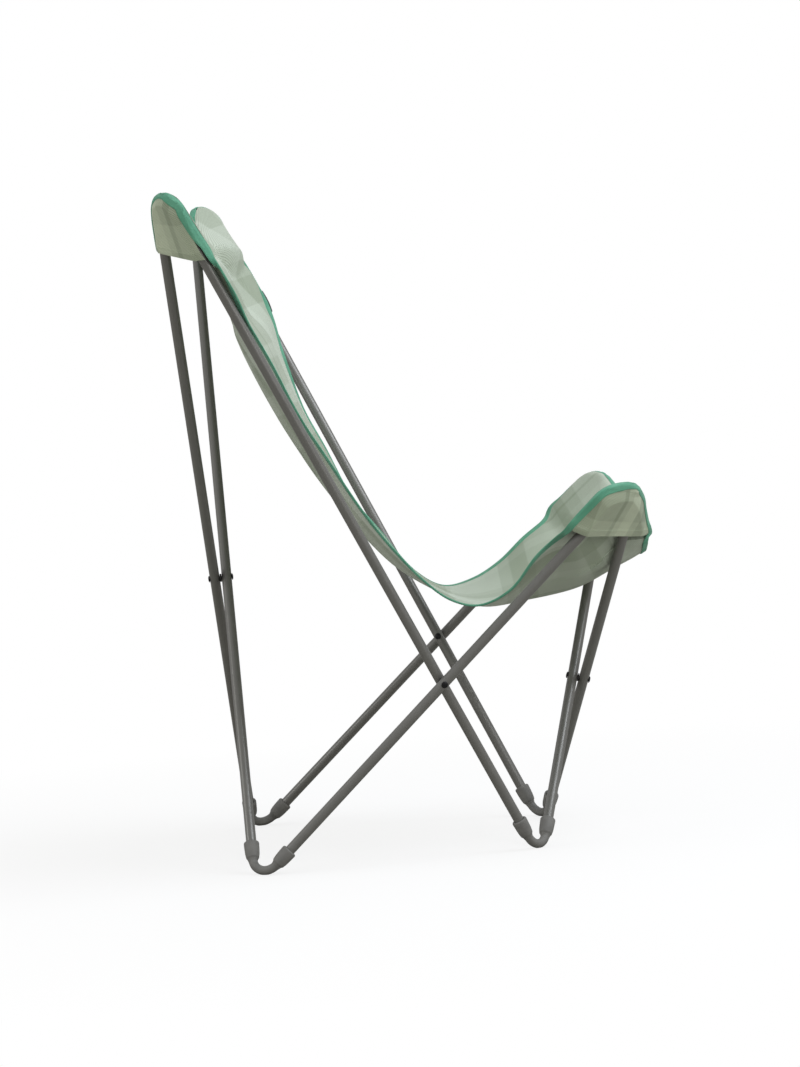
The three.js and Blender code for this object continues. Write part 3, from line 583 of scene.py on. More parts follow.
# cloth over the upper corners: margins beyond the tubes' axes at a pouch's top and at its hem, on its outer and
# inner side; "lift" is how far its rim leaves the plane of the tubes, "belly" how far the cloth between them does
pouchSize = {"round": 0.014, "bulge": 0.0135, "fade": 0.050, "clear": 0.0027}
backPouch = {"depth": 0.150, "tilt": 0.011, "inner": (0.0125, 0.0125), "press": 0.016, "liftOut": 0.002,
             "liftIn": 0.0, "belly": 0.030}
frontPouch = {"depth": 0.120, "inner": (0.016, 0.070), "press": 0.035, "liftIn": -0.006, "belly": 0.0}


def pouchAt(corner, kind, sizes):
    # the pouch lies over an elbow: a frame of directions down its middle line, across it and in front of it
    pouch = elbowAt(corner)
    front = pouch["normal"]
    if front @ (chairMiddle - pouch["corner"]) < 0:
        front = -front
    side = pouch["side"]
    if side[0] * pouch["corner"][0] < 0:
        side = -side
    apex = pouch["radius"] / math.sin(pouch["half"]) - pouch["radius"]
    pouch.update(kind)
    pouch.update(sizes)
    pouch.update(front=front, side=side, start=apex - sizes["top"])
    return pouch


pouches = {
    "backR": pouchAt("backTopR", backPouch, {"top": 0.029, "outer": (0.0125, 0.0125)}),
    "backL": pouchAt("backTopL", backPouch, {"top": 0.023, "outer": (0.018, 0.0125)}),
    "frontR": pouchAt("frontTopR", frontPouch,
                      {"top": 0.0153, "outer": (0.052, 0.038), "liftOut": 0.008, "tilt": 0.006}),
    "frontL": pouchAt("frontTopL", frontPouch,
                      {"top": 0.0105, "outer": (0.014, 0.014), "liftOut": 0.002, "tilt": 0.020}),
}


def depthShare(pouch, down):
    # 0 at the pouch's top to 1 at its hem, in step with the place down
    return np.clip((down - pouch["start"]) / (pouch["depth"] - pouch["start"]), 0, 1)


def pouchMargin(pouch, down, way):
    # how far the cloth stands beyond the tube's axis: a straight line from its top value to its hem value
    share = depthShare(pouch, down)
    outer, inner = (top + (hem - top) * share for top, hem in (pouch["outer"], pouch["inner"]))
    return np.where(way > 0, outer, inner)


def pouchHalf(pouch, down, way):
    # half width: it widens with the angle between the tubes, and its top is round
    turn = np.clip((down - pouch["start"]) / (2 * pouchSize["round"]), 0, 1)
    return (down * math.tan(pouch["half"]) + pouchMargin(pouch, down, way)) * np.sqrt(turn * (2 - turn))


def pouchSwell(pouch, down, across):
    # 0 at the rim to 1 over the tubes: an ellipse beyond the tubes, flat between them, a dome at the top
    beyond = np.abs(across) - pouchHalf(pouch, down, across)
    inside = np.clip(beyond / pouchMargin(pouch, down, across) + 1, 0, 1)
    return np.sqrt(1 - inside * inside) * domed((down - pouch["start"]) / pouchSize["round"])


def rimLift(pouch, down, way):
    # how far the rim is in front of the tubes' plane: it eases in from nothing at the top to its whole at the hem
    return np.where(way > 0, pouch["liftOut"], pouch["liftIn"]) * ease(depthShare(pouch, down))


def pouchPoint(pouch, down, across, front):
    # corner + down * middle + across * side + front * front
    down, across, front = np.broadcast_arrays(down, across, front)
    return (pouch["corner"] + down[..., None] * pouch["middle"] + across[..., None] * pouch["side"]
            + front[..., None] * pouch["front"])


def pouchPlace(pouch, points):
    # the other way round: how far down, across and in front of the pouch's corner each point is
    fromCorner = points - pouch["corner"]
    return fromCorner @ pouch["middle"], fromCorner @ pouch["side"], fromCorner @ pouch["front"]


rimShares = (0, 0.03, 0.11, 0.26, 0.48, 0.72, 0.93)


def rimPoints(pouch, way):
    # points of the sling's edge on one side of a pouch: its half width and its rim's lift at a few depths
    down = pouch["start"] + np.array(rimShares) * (pouch["depth"] - pouch["start"])
    return pouchPoint(pouch, down, way * pouchHalf(pouch, down, way), rimLift(pouch, down, way))


def smoothCurve(points, steps=160):
    # centripetal Catmull-Rom through the points, read back by its share of the whole length
    points = np.array(points, float)
    padded = np.concatenate([2 * points[:1] - points[1:2], points, 2 * points[-1:] - points[-2:-1]])
    p0, p1, p2, p3 = padded[:-3], padded[1:-2], padded[2:-1], padded[3:]
    gap = [np.sqrt(np.linalg.norm(b - a, axis=1, keepdims=True)) for a, b in ((p0, p1), (p1, p2), (p2, p3))]
    t1 = ((p1 - p0) / gap[0] - (p2 - p0) / (gap[0] + gap[1]) + (p2 - p1) / gap[1]) * gap[1]
    t2 = ((p2 - p1) / gap[1] - (p3 - p1) / (gap[1] + gap[2]) + (p3 - p2) / gap[2]) * gap[1]
    t = np.arange(steps)[None, :, None] / steps
    c2, c3 = -3 * p1 + 3 * p2 - 2 * t1 - t2, 2 * p1 - 2 * p2 + t1 + t2
    dense = p1[:, None] + t1[:, None] * t + c2[:, None] * t ** 2 + c3[:, None] * t ** 3
    dense = np.concatenate([dense.reshape(-1, 3), points[-1:]])
    length = lengthAlong(dense)

    def at(share):
        share = np.asarray(share, float)
        found = [np.interp(share * length[-1], length, dense[:, k]) for k in range(3)]
        return np.stack(found, -1)

    at.length = length[-1]
    return at


# half width, then depth place and height on the sitter's right and left, from the top to the front
sideTable = np.array([
    (423, 269, 926, 246, 922), (392, 233, 852, 214, 853), (362, 203, 790, 199, 788), (338, 164, 701, 170, 696),
    (320, 124, 630, 138, 630), (302, 82, 556, 98, 543), (286, 39, 493, 56, 487), (270, -10, 434, 2, 416),
    (258, -50, 401, -45, 388), (251, -92, 390, -95, 398), (247, -142, 411, -140, 424), (249, -184, 460, -182, 461),
    (257, -212, 485, -210, 481),
]) * mm
middleTable = np.array([
    (308, 960), (284, 885), (251, 793), (197, 675), (133, 565), (43, 451), (-17, 408), (-99, 371), (-175, 375),
    (-265, 392), (-334, 425), (-368, 443),
]) * mm
topTable = np.array([(300, 318, 968), (150, 304, 960)]) * mm
frontTable = np.array([(150, -367, 470)]) * mm


def sideCurve(way):
    # one side edge: the outer rim of the back pouch, the table's free points, the outer rim of the front pouch
    back, front = (pouches["backR"], pouches["frontR"]) if way < 0 else (pouches["backL"], pouches["frontL"])
    place = sideTable[:, 1:3] if way < 0 else sideTable[:, 3:5]
    free = np.column_stack([way * sideTable[:, 0], place])
    return smoothCurve(np.concatenate([rimPoints(back, 1), free, rimPoints(front, 1)[::-1]]))


def acrossCurve(right, left, middle, hang):
    # the top or front edge: the inner rims of two pouches, with the hanging points and the middle between them
    free = np.concatenate([hang * [-1, 1, 1], [[0, *middle]], (hang * [1, 1, 1])[::-1]])
    return smoothCurve(np.concatenate([rimPoints(right, -1), free, rimPoints(left, -1)[::-1]]))


edge = {
    "right": sideCurve(-1),
    "left": sideCurve(1),
    "top": acrossCurve(pouches["backR"], pouches["backL"], middleTable[0], topTable),
    "front": acrossCurve(pouches["frontR"], pouches["frontL"], middleTable[-1], frontTable),
    "middle": smoothCurve(np.column_stack([np.zeros(len(middleTable)), middleTable])),
}
# the crease's place down the cloth, how far the end edges bend it, and the width of the solids' edge tape, in which
# the tuck of the cloth under the tape is measured
creaseShare, endShare, bindingWidth = 0.65, 0.22, 0.013


def bulged(points):
    # cloth over a pouch takes the pouch's own height in front of its elbow; the hold fades away from it
    for pouch in pouches.values():
        down, across, front = pouchPlace(pouch, points)
        wide = np.maximum(pouchMargin(pouch, down, across), pouchHalf(pouch, down, across))
        beyond = (np.linalg.norm(points - pouch["corner"], axis=-1) - pouch["depth"]) / pouchSize["fade"]
        hold = (1 - ease(beyond)) * (1 - ease(np.abs(across) / wide - 1))
        swell = pouchSwell(pouch, down, across)
        belly = pouch["belly"] * depthShare(pouch, down) ** 2 * (1 - np.clip(across / wide, -1, 1) ** 2)
        wanted = (pouchSize["bulge"] + belly) * swell + rimLift(pouch, down, across) * (1 - swell)
        points = points + (hold * (wanted - front))[..., None] * pouch["front"]
    return points


hangSize = {"behind": 0.006, "lean": 0.04, "top": 0.968, "fade": 0.030, "low": 0.825, "lowFade": 0.075}


def drawn(points):
    # below its pouches the back hangs in line with the two long tubes: cloth behind that line comes forward
    top = (corners["backTopR"] + corners["backTopL"]) / 2
    foot = (corners["frontFootR"] + corners["frontFootL"]) / 2
    x, y, z = points[..., 0], points[..., 1], points[..., 2]
    line = top[1] + (z - top[2]) * (top[1] - foot[1]) / (top[2] - foot[2])
    limit = line + hangSize["behind"] + hangSize["lean"] * (corners["backTopL"][0] - np.abs(x))
    hold = ease((hangSize["top"] - z) / hangSize["fade"]) * ease((z - hangSize["low"]) / hangSize["lowFade"])
    return np.stack([x, y - hold * np.maximum(0, y - limit), z], -1)


def cleared(points):
    # cloth stays a tube's radius and a little more in front of each tube that it passes
    need = tubeSize["dia"] / 2 + pouchSize["clear"]
    for pouch in pouches.values():
        for leg in pouch["legs"]:
            fromCorner = points - pouch["corner"]
            beside = np.abs(fromCorner @ np.cross(leg, pouch["front"]))
            hold = (1 - ease((beside - need) / pouch["press"])) * ease(fromCorner @ leg / pouch["tangent"] - 1)
            push = hold * np.maximum(0, need - fromCorner @ pouch["front"])
            points = points + push[..., None] * pouch["front"]
    return points


def slingPoints(across, down):
    # a ruled surface between the side edges, bent to the end edges near them, and sagged to the middle line
    across, down = np.broadcast_arrays(np.asarray(across, float), np.asarray(down, float))
    share = ((across + 1) / 2)[..., None]
    nearTop = (1 - ease(down / endShare))[..., None]
    nearFront = (1 - ease((1 - down) / endShare))[..., None]

    def ruled(place, part):
        right, left = edge["right"](place), edge["left"](place)
        return right + (left - right) * part

    def bent(part):
        top = edge["top"](part[..., 0]) - ruled(np.zeros_like(down), part)
        front = edge["front"](part[..., 0]) - ruled(np.ones_like(down), part)
        return ruled(down, part) + top * nearTop + front * nearFront

    points, centre = bent(share), bent(np.full_like(share, 0.5))
    sag = edge["middle"](down) - centre
    return cleared(drawn(bulged(points + sag * (1 - across * across)[..., None])))


def insetAcross(down):
    # share of the half width that the binding takes
    return 2 * bindingWidth / np.linalg.norm(edge["right"](down) - edge["left"](down), axis=-1)


insetDown = bindingWidth / edge["middle"].length


def gridNormals(points):
    # the cross product of the two directions in which the grid runs
    return unit(np.cross(np.gradient(points, axis=0), np.gradient(points, axis=1)))


def closedSheet(name, points, uv, thick, material):
    # a sheet with an upper and a lower face, and a rim joining them; thick is a number or one for each point
    rows, columns = points.shape[:2]
    normals = gridNormals(points)
    half = (np.broadcast_to(thick, (rows, columns)) / 2)[..., None]
    upper, lower = (points + normals * half).reshape(-1, 3), (points - normals * half).reshape(-1, 3)
    faces = gridFaces(rows, columns)
    count = rows * columns
    rim = np.concatenate([
        np.arange(columns - 1), np.arange(rows - 1) * columns + columns - 1,
        (rows - 1) * columns + np.arange(columns - 1, 0, -1), np.arange(rows - 1, 0, -1) * columns,
    ])
    following = np.roll(rim, -1)
    edges = np.stack([rim, rim + count, following + count, following], -1)
    quads = np.concatenate([faces, faces[:, ::-1] + count, edges])
    every = np.concatenate([upper, lower])
    uvs = np.concatenate([uv.reshape(-1, 2)] * 2)
    return makeMesh(name, every, outward(every, quads), material, uvs)


lineSize = {"points": 500, "beyond": 0.3, "beyondPoints": 90, "batch": 4000}


def clothPlaces(points):
    # flat coordinates of the cloth: the place along the middle line, made longer at both ends, that is nearest in
    # depth and height, and the straight distance from there, which is negative on the sitter's right
    line = edge["middle"](np.linspace(0, 1, lineSize["points"]))[:, 1:]
    beyond, count = lineSize["beyond"], lineSize["beyondPoints"]
    above, below = line[0] + beyond * unit(line[0] - line[4]), line[-1] + beyond * unit(line[-1] - line[-5])
    line = np.concatenate([np.linspace(above, line[0], count)[:-1], line, np.linspace(line[-1], below, count)[1:]])
    length = lengthAlong(line)
    run = unit(np.gradient(line, axis=0))
    flat = points.reshape(-1, 3)
    places = []
    for some in np.array_split(flat, max(1, len(flat) // lineSize["batch"])):
        near = ((some[:, None, 1:] - line[None]) ** 2).sum(-1).argmin(1)
        offset = some[:, 1:] - line[near]
        onward = (offset * run[near]).sum(-1)
        away = offset - onward[:, None] * run[near]
        across = np.sign(some[:, 0]) * np.sqrt(some[:, 0] ** 2 + (away ** 2).sum(-1))
        places.append(np.stack([across, length[near] + onward], -1))
    return np.concatenate(places).reshape(points.shape[:-1] + (2,))


foldSize = {"fan": 0.0022, "count": 13, "shift": 1.7, "half": 1.2, "from": 0.75, "rise": 0.08, "hold": 0.10,
            "fade": 0.22, "wave": 0.0012}


def foldHeight(points, across, down):
    # soft folds that fan out of each pouch: a wave in the angle round its corner, strongest beyond its hem, and a
    # few long shallow waves down the cloth; only forward, so that the cloth stays clear of the tubes behind it
    height = np.zeros(points.shape[:2])
    for n, pouch in enumerate(pouches.values()):
        along, beside = pouchPlace(pouch, points)[:2]
        far, angle = np.hypot(along, beside), np.arctan2(beside, along)
        near = ease((far - pouch["depth"] * foldSize["from"]) / foldSize["rise"])
        near = near * (1 - ease((far - pouch["depth"] - foldSize["hold"]) / foldSize["fade"]))
        fan = (0.5 + 0.5 * np.sin(angle * foldSize["count"] + n * foldSize["shift"])) ** 2
        height += foldSize["fan"] * near * fan * ease(foldSize["half"] - np.abs(angle))
    wave = np.sin(across * 5.1 + 1.3 * np.sin(down * 7) + 0.6) * np.sin(down * 9.5 + 0.8)
    return (height + foldSize["wave"] * (0.5 + 0.5 * wave)) * (1 - np.abs(across) ** 6)


slingSize = {"thick": 0.0013, "backRows": 130, "seatRows": 80, "columns": 181, "crowd": 1.7, "tuck": 0.35}


def slingGrid(tuck):
    # rows crowd towards both ends of the cloth and columns towards its sides; tuck is in widths of the edge tape
    across = np.sin(np.linspace(-1, 1, slingSize["columns"]) * math.pi / 2)[None, :]
    backPart = np.linspace(0, 1, slingSize["backRows"] + 1) ** slingSize["crowd"]
    seatPart = np.linspace(1, 0, slingSize["seatRows"] + 1)[1:] ** slingSize["crowd"]
    top, front = tuck * insetDown, 1 - tuck * insetDown
    down = np.concatenate([top + (creaseShare - top) * backPart, front - (front - creaseShare) * seatPart])[:, None]
    return across * (1 - tuck * insetAcross(down[:, 0])[:, None]), down


def facingSitter(points, normals):
    # 1 where the normals of a grid of points look towards the sitter on the whole, else -1
    return np.sign((normals * (np.array([0, -0.25, 0.85]) - points)).sum())


def makeSling():
    # one cloth on one grid, cut at the crease into the two panels that fold on each other
    across, down = slingGrid(slingSize["tuck"])
    points = slingPoints(across, down)
    normals = gridNormals(points)
    height = facingSitter(points, normals) * foldHeight(points, across, down)
    points = points + normals * height[..., None]
    uv = clothPlaces(points)
    pieces = []
    backRows = slingSize["backRows"]
    for name, node, body, part in (("sling_back_cloth", "sling_back", "sling_back_panel", slice(0, backRows + 1)),
                                   ("sling_seat_cloth", "sling_seat", "sling_seat_panel", slice(backRows, None))):
        piece = closedSheet(name, points[part], uv[part], slingSize["thick"], slingCloth)
        pieces.append(settle(piece, node, body, 60))
    return pieces


slingBack, slingSeat = makeSling()
print("sling cloth made")


patchSize = {"thick": 0.0012, "hem": 0.013, "hemThick": 0.0022, "rows": 84, "columns": 91, "stitch": 0.0105,
             "tuckTop": 0.028, "tuckSide": 0.045, "start": 0.0003, "slope": 0.0116, "bow": 0.35, "need": 0.0098,
             "round": 2.4, "from": 0.85, "grow": 0.015, "crowd": 1.5, "rimPoints": 260, "rimLong": 0.17}


def edgeBeside(pouch, way):
    # the sling's own edge beside a pouch, on its outer or inner side, read by its place down the pouch
    side, end = np.sign(pouch["corner"][0]), 0.0 if pouch["corner"][1] > 0 else 1.0
    curve = edge["right" if side < 0 else "left"] if way > 0 else edge["front" if end else "top"]
    share = np.linspace(0, 2 * pouch["depth"] / curve.length, 400)
    points = slingPoints(side, np.abs(end - share)) if way > 0 else slingPoints(side * (1 - 2 * share), end)
    down, across, front = pouchPlace(pouch, points)
    down = np.maximum.accumulate(down) + np.arange(len(down)) * 1e-9

    def read(place):
        return np.interp(place, down, across), np.interp(place, down, front)

    return read


for pouch in pouches.values():
    pouch["edges"] = {way: edgeBeside(pouch, way) for way in (1, -1)}


def hemDown(pouch, share):
    # the hem is as deep as the pouch at its outer edge and rises by the tilt towards its inner edge
    return pouch["depth"] - pouch["tilt"] * (1 - share) / 2


def fromRim(pouch, down, across):
    # distance in the pouch's own plane to the nearest point of the sling's edge
    place = pouch["start"] + np.linspace(0, 1, patchSize["rimPoints"]) ** 2 * patchSize["rimLong"]
    rim = np.concatenate([np.column_stack([pouch["edges"][way](place)[0], place]) for way in (1, -1)])
    flat = np.column_stack([across.ravel(), down.ravel()])
    return np.linalg.norm(flat[:, None] - rim[None], axis=-1).min(1).reshape(down.shape)


def patchPoints(pouch, place, share):
    # place runs from 0 at a pouch's top to 1 at its hem, share from -1 at its inner edge to 1 at its outer edge; the
    # patch leaves the sling's edge as a slope that flattens, s (1 + bow - bow s), and lies flat behind the tubes
    start, need, bow = pouch["start"] + patchSize["start"], patchSize["need"], patchSize["bow"]
    down = start + (hemDown(pouch, share) - pouch["start"] - patchSize["start"]) * place
    outer, outerFront = pouch["edges"][1](down)
    inner, innerFront = pouch["edges"][-1](down)
    reach = np.where(share > 0, outer, -inner)
    rim = innerFront + (outerFront - innerFront) * (1 + share) / 2
    outerMargin, innerMargin = (np.clip(side - down * math.tan(pouch["half"]), patchSize["slope"],
                                        2 * patchSize["slope"]) for side in (outer, -inner))
    margin = innerMargin + (outerMargin - innerMargin) * ease(0.5 + share)
    inside = np.clip(fromRim(pouch, *np.broadcast_arrays(down, share * reach)) / margin, 0, 1)
    swell = inside * (1 + bow - bow * inside)
    height = rim * (1 - swell) - pouchSize["bulge"] * swell
    points = pouchPoint(pouch, down, share * reach, height)
    for leg in pouch["legs"]:  # behind each tube by need - b^2 / (round need) at least, b the distance from its axis
        fromCorner = points - pouch["corner"]
        beside = fromCorner @ np.cross(leg, pouch["front"])
        limit = beside ** 2 / (patchSize["round"] * need) - need
        hold = ease((fromCorner @ leg - patchSize["from"] * pouch["tangent"]) / patchSize["grow"])
        height = height + hold * np.minimum(0, limit - height)
    return pouchPoint(pouch, down, share * reach, height)


# "outer" and "rear" are how far the two leaves' outsides stand off the surfaces under them
tapeSize = {"width": 0.0095, "outer": 0.00125, "rear": 0.0018, "inner": 0.0007, "nose": 0.0004, "step": 0.003,
            "walk": 0.0008, "probe": 0.0025, "headings": 32, "thin": 0.0003, "rimShare": 0.75, "stitchInset": 0.0076}
tapeInsets = np.array([0.0, 0.0006, 0.0014, 0.0026, 0.0040, 0.0054, 0.0066, tapeSize["stitchInset"], 0.0088,
                       tapeSize["width"]])
# where the rear leaf leaves the patch for the sling, beyond the hem, and the grid of the patch that it walks on
leafSize = {"stay": 0.002, "leave": 0.020, "hem": 0.024, "near": 0.12, "beyond": 1.35, "rows": 150, "columns": 141}


def outlineStations(end, crease):
    # the stations of one panel's edge: up the right side, across the end, down the left side
    sideLong, endCurve = edge["right"].length * abs(crease - end), edge["top"] if end == 0 else edge["front"]
    sideCount, endCount = round(sideLong / tapeSize["step"]), round(endCurve.length / tapeSize["step"])
    sideDown = np.linspace(crease, end, sideCount + 1)[:-1]
    across = np.concatenate([np.full(sideCount, -1.0), np.linspace(-1, 1, endCount + 1), np.full(sideCount, 1.0)])
    down = np.concatenate([sideDown, np.full(endCount + 1, float(end)), sideDown[::-1]])
    return across, down


def surfaceTree(points):
    # a search tree over the faces of a grid of points
    return BVHTree.FromPolygons(points.reshape(-1, 3).tolist(), gridFaces(*points.shape[:2]).tolist())


def nearest(tree, points):
    return np.array([tree.find_nearest(p)[0] for p in points.tolist()])


def walkedIn(tree, rim, insets):
    # points at each inset from the rim, measured over the surface and square to the rim: the first heading is the
    # one of many round the rim that stays nearest to the surface, and each short step is put back on the surface
    run = unit(np.gradient(rim, axis=0))
    first = unit(np.cross(run, np.array([0.31, 0.52, 0.79])))
    turn = fullTurn(tapeSize["headings"])[:, None, None]
    headings = np.cos(turn) * first + np.sin(turn) * np.cross(run, first)
    far = [np.linalg.norm(nearest(tree, tried) - tried, axis=1) for tried in rim + headings * tapeSize["probe"]]
    heading = headings[np.argmin(far, axis=0), np.arange(len(rim))]
    place, walked, length = rim, [rim], [np.zeros(len(rim))]
    for _ in range(math.ceil(insets[-1] / tapeSize["walk"]) + 3):
        found = nearest(tree, place + heading * tapeSize["walk"])
        move = found - place
        move = move - run * (move * run).sum(-1, keepdims=True)
        far = np.linalg.norm(move, axis=1)
        heading = np.where(far[:, None] > 1e-5, unit(heading + 2 * unit(move)), heading)
        place = place + move
        walked.append(place)
        length.append(length[-1] + far)
    walked, length = np.array(walked), np.array(length)
    found = [[np.interp(insets, length[:, n], walked[:, n, k]) for k in range(3)] for n in range(len(rim))]
    return np.swapaxes(found, 1, 2)


def smoothed(points, rounds=3):
    # each point moves towards the mean of its neighbours along the rim; the rim itself stays
    for _ in range(rounds):
        between = points.copy()
        between[1:-1] = points[1:-1] / 2 + (points[:-2] + points[2:]) / 4
        between[:, 0] = points[:, 0]
        points = between
    return points


def tapeSurface(end, crease):
    # the front leaf lies on the sling; the rear leaf lies behind it, or on the patch where a pouch has one
    rim = slingPoints(*outlineStations(end, crease))
    front = smoothed(walkedIn(clothTree, rim, tapeInsets))
    rear = front.copy()
    for key in (("backR", "backL") if end == 0 else ("frontR", "frontL")):
        pouch = pouches[key]
        down, across = pouchPlace(pouch, rim)[:2]
        beyond, far = down - hemDown(pouch, np.sign(across)), np.linalg.norm(rim - pouch["corner"], axis=1)
        near = np.flatnonzero((beyond < leafSize["hem"]) & (far < pouch["depth"] + leafSize["near"]))
        part = slice(near[0], near[-1] + 1)
        place = np.linspace(0, leafSize["beyond"], leafSize["rows"])[:, None] ** patchSize["crowd"]
        share = np.sin(np.linspace(-0.5, 0.5, leafSize["columns"]) * math.pi)[None, :]
        behind = smoothed(walkedIn(surfaceTree(patchPoints(pouch, place, share)), rim[part], tapeInsets))
        weight = (1 - ease((beyond[part] - leafSize["stay"]) / leafSize["leave"]))[:, None, None]
        rear[part] = rear[part] * (1 - weight) + behind * weight
    frontNormal, rearNormal = gridNormals(front), gridNormals(rear)
    facing = facingSitter(front, frontNormal)
    return {"front": front, "rear": rear, "frontNormal": facing * frontNormal, "rearNormal": facing * rearNormal,
            "along": lengthAlong(rim)}


def makeTape(name, node, body, surface):
    # a ring round both leaves: the front leaf from its inner edge to the nose, the rear leaf back, and the inner
    # sides; the leaves are thinner at their inner edge and beside the nose
    front, rear, frontNormal, rearNormal = (surface[k] for k in ("front", "rear", "frontNormal", "rearNormal"))
    outer = np.full(len(tapeInsets), tapeSize["outer"])
    outer[-1] -= tapeSize["thin"]
    outer[0] *= tapeSize["rimShare"]
    outer, inner = outer[None, :, None], tapeSize["inner"]
    out = unit(front[:, :1] - (front[:, 3:4] + rear[:, 3:4]) / 2)
    turned = np.maximum(0, (frontNormal[:, 1:2] * out).sum(-1, keepdims=True))
    nose = front[:, :1] + out * (tapeSize["nose"] + tapeSize["outer"] * turned)
    rings = np.concatenate([
        (front + frontNormal * outer)[:, ::-1], nose,
        rear - rearNormal * (outer + tapeSize["rear"] - tapeSize["outer"]),
        (rear - rearNormal * inner)[:, :1:-1], (front + frontNormal * inner)[:, 2:],
    ], axis=1)
    profile = np.concatenate([tapeInsets[::-1], [-0.0005], -tapeInsets, -tapeInsets[:1:-1], tapeInsets[2:]])
    uv = np.stack(np.broadcast_arrays(surface["along"][:, None], profile[None, :]), -1).reshape(-1, 2)
    return settle(sweptRings(name, rings, tapeGreen, uv), node, body, 55)


clothTree = surfaceTree(slingPoints(*slingGrid(0.0)))
backTape, seatTape = tapeSurface(0, creaseShare), tapeSurface(1, creaseShare)
tapeBack = makeTape("binding_back_tape", "binding_back", "sling_back_panel", backTape)
tapeSeat = makeTape("binding_seat_tape", "binding_seat", "sling_seat_panel", seatTape)
print("edge tape made")


threadSize = {"radius": 0.00028, "long": 0.0029, "pitch": 0.0040, "sides": 6, "first": 0.002, "last": 0.005}
# along one stitch: share of its length, height over the cloth and share of the thread's radius
stitchShape = np.array([(0, -0.0004, 0.55), (0.12, 0.0, 1), (0.5, 0.00012, 1), (0.88, 0.0, 1), (1.0, -0.0004, 0.55)])


def stitchRow(path, normals, lift):
    # stitches along a line: each is a thin thread that rises from the cloth, runs along it and dips in again
    length = lengthAlong(path)
    starts = np.arange(threadSize["first"], length[-1] - threadSize["last"], threadSize["pitch"])
    places = starts[:, None] + stitchShape[:, 0] * threadSize["long"]
    rise = stitchShape[None, :, 1, None]

    def read(values):
        return np.stack([np.interp(places, length, values[:, k]) for k in range(3)], -1)

    normal = unit(read(normals))
    centre = read(path) + normal * (lift + rise)
    run = unit(np.gradient(centre, axis=1))
    side = unit(np.cross(run, normal))
    up = np.cross(side, run)
    turn = fullTurn(threadSize["sides"])[:, None]
    size = threadSize["radius"] * stitchShape[None, :, 2, None, None]
    rings = centre[:, :, None] + size * (np.cos(turn) * side[:, :, None] + np.sin(turn) * up[:, :, None])
    return rings.reshape(-1, len(stitchShape) * threadSize["sides"], 3)


def makeStitches(name, rows, material, body):
    # all the stitches of one piece in one mesh: the same small grid of faces, moved on for each stitch
    points, sides, stations = np.concatenate(rows), threadSize["sides"], len(stitchShape)
    quads = gridFaces(stations, sides, closeColumns=True)
    ends = np.array([(0, 1, 2, 3), (0, 3, 4, 5), (3, 2, 1, 0), (5, 4, 3, 0)])
    ends[2:] += (stations - 1) * sides
    one = outward(points[0], np.concatenate([quads, ends[:, ::-1]]))
    every = (one[None] + (np.arange(len(points)) * stations * sides)[:, None, None]).reshape(-1, 4)
    piece = makeMesh(name, points.reshape(-1, 3), every, material)
    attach(piece, body)
    return piece


def tapeStitches(name, body, surface):
    column = int(np.argmin(np.abs(tapeInsets - tapeSize["stitchInset"])))
    rows = [stitchRow(surface[leaf][:, column], way * surface[leaf + "Normal"][:, column], lift)
            for leaf, way, lift in (("front", 1, tapeSize["outer"]), ("rear", -1, tapeSize["rear"]))]
    return makeStitches(name, rows, threadGreen, body)


stitchesBack = tapeStitches("binding_back_stitches", "sling_back_panel", backTape)
stitchesSeat = tapeStitches("binding_seat_stitches", "sling_seat_panel", seatTape)
print("tape stitches made")


hemSize = {"edge": 0.0012, "stitchEnd": 0.94, "stitchPoints": 220, "stitchLift": 0.0004}
pullSize = {"deep": 0.0003, "pitch": 150, "sway": 2.2, "swayPitch": 30, "from": 0.03, "grow": 0.03, "tape": 0.016,
            "fade": 0.010}


def makePatch(key, node, body):
    pouch, columns = pouches[key], patchSize["columns"]
    place = np.linspace(0, 1, patchSize["rows"]) ** patchSize["crowd"]
    place = patchSize["tuckTop"] + (1 - patchSize["tuckTop"]) * place[:, None]
    share = (1 - patchSize["tuckSide"]) * np.sin(np.linspace(-0.5, 0.5, columns) * math.pi)[None, :]
    points = patchPoints(pouch, place, share)
    down, across = pouchPlace(pouch, points)[:2]
    # a few shallow pulls from tube to tube, parallel to the hem, that die out under the edge tape
    clear = 1.0
    for side in (points[:, :1], points[:, -1:]):
        clear = clear * ease((np.linalg.norm(points - side, axis=-1) - pullSize["tape"]) / pullSize["fade"])
    sway = pullSize["sway"] * np.cos(across * pullSize["swayPitch"])
    pull = pullSize["deep"] * np.sin(down * pullSize["pitch"] + sway)
    pull = pull * ease((down - pouch["start"] - pullSize["from"]) / pullSize["grow"])
    points = points - pouch["front"] * (np.abs(pull) * clear)[..., None]
    hem = ease((down - hemDown(pouch, share) + patchSize["hem"]) / hemSize["edge"])
    thick = patchSize["thick"] + (patchSize["hemThick"] - patchSize["thick"]) * hem
    uv = np.stack([across, down], -1)
    piece = settle(closedSheet(node + "_patch", points, uv, thick, patchCloth), node, body, 60)
    share = np.linspace(-hemSize["stitchEnd"], hemSize["stitchEnd"], hemSize["stitchPoints"])
    line = patchPoints(pouch, 1 - patchSize["stitch"] / (hemDown(pouch, share) - pouch["start"]), share)
    row = stitchRow(line, np.tile(-pouch["front"], (len(line), 1)), patchSize["hemThick"] / 2 + hemSize["stitchLift"])
    return piece, makeStitches(node + "_hem_stitches", [row], threadPale, body)


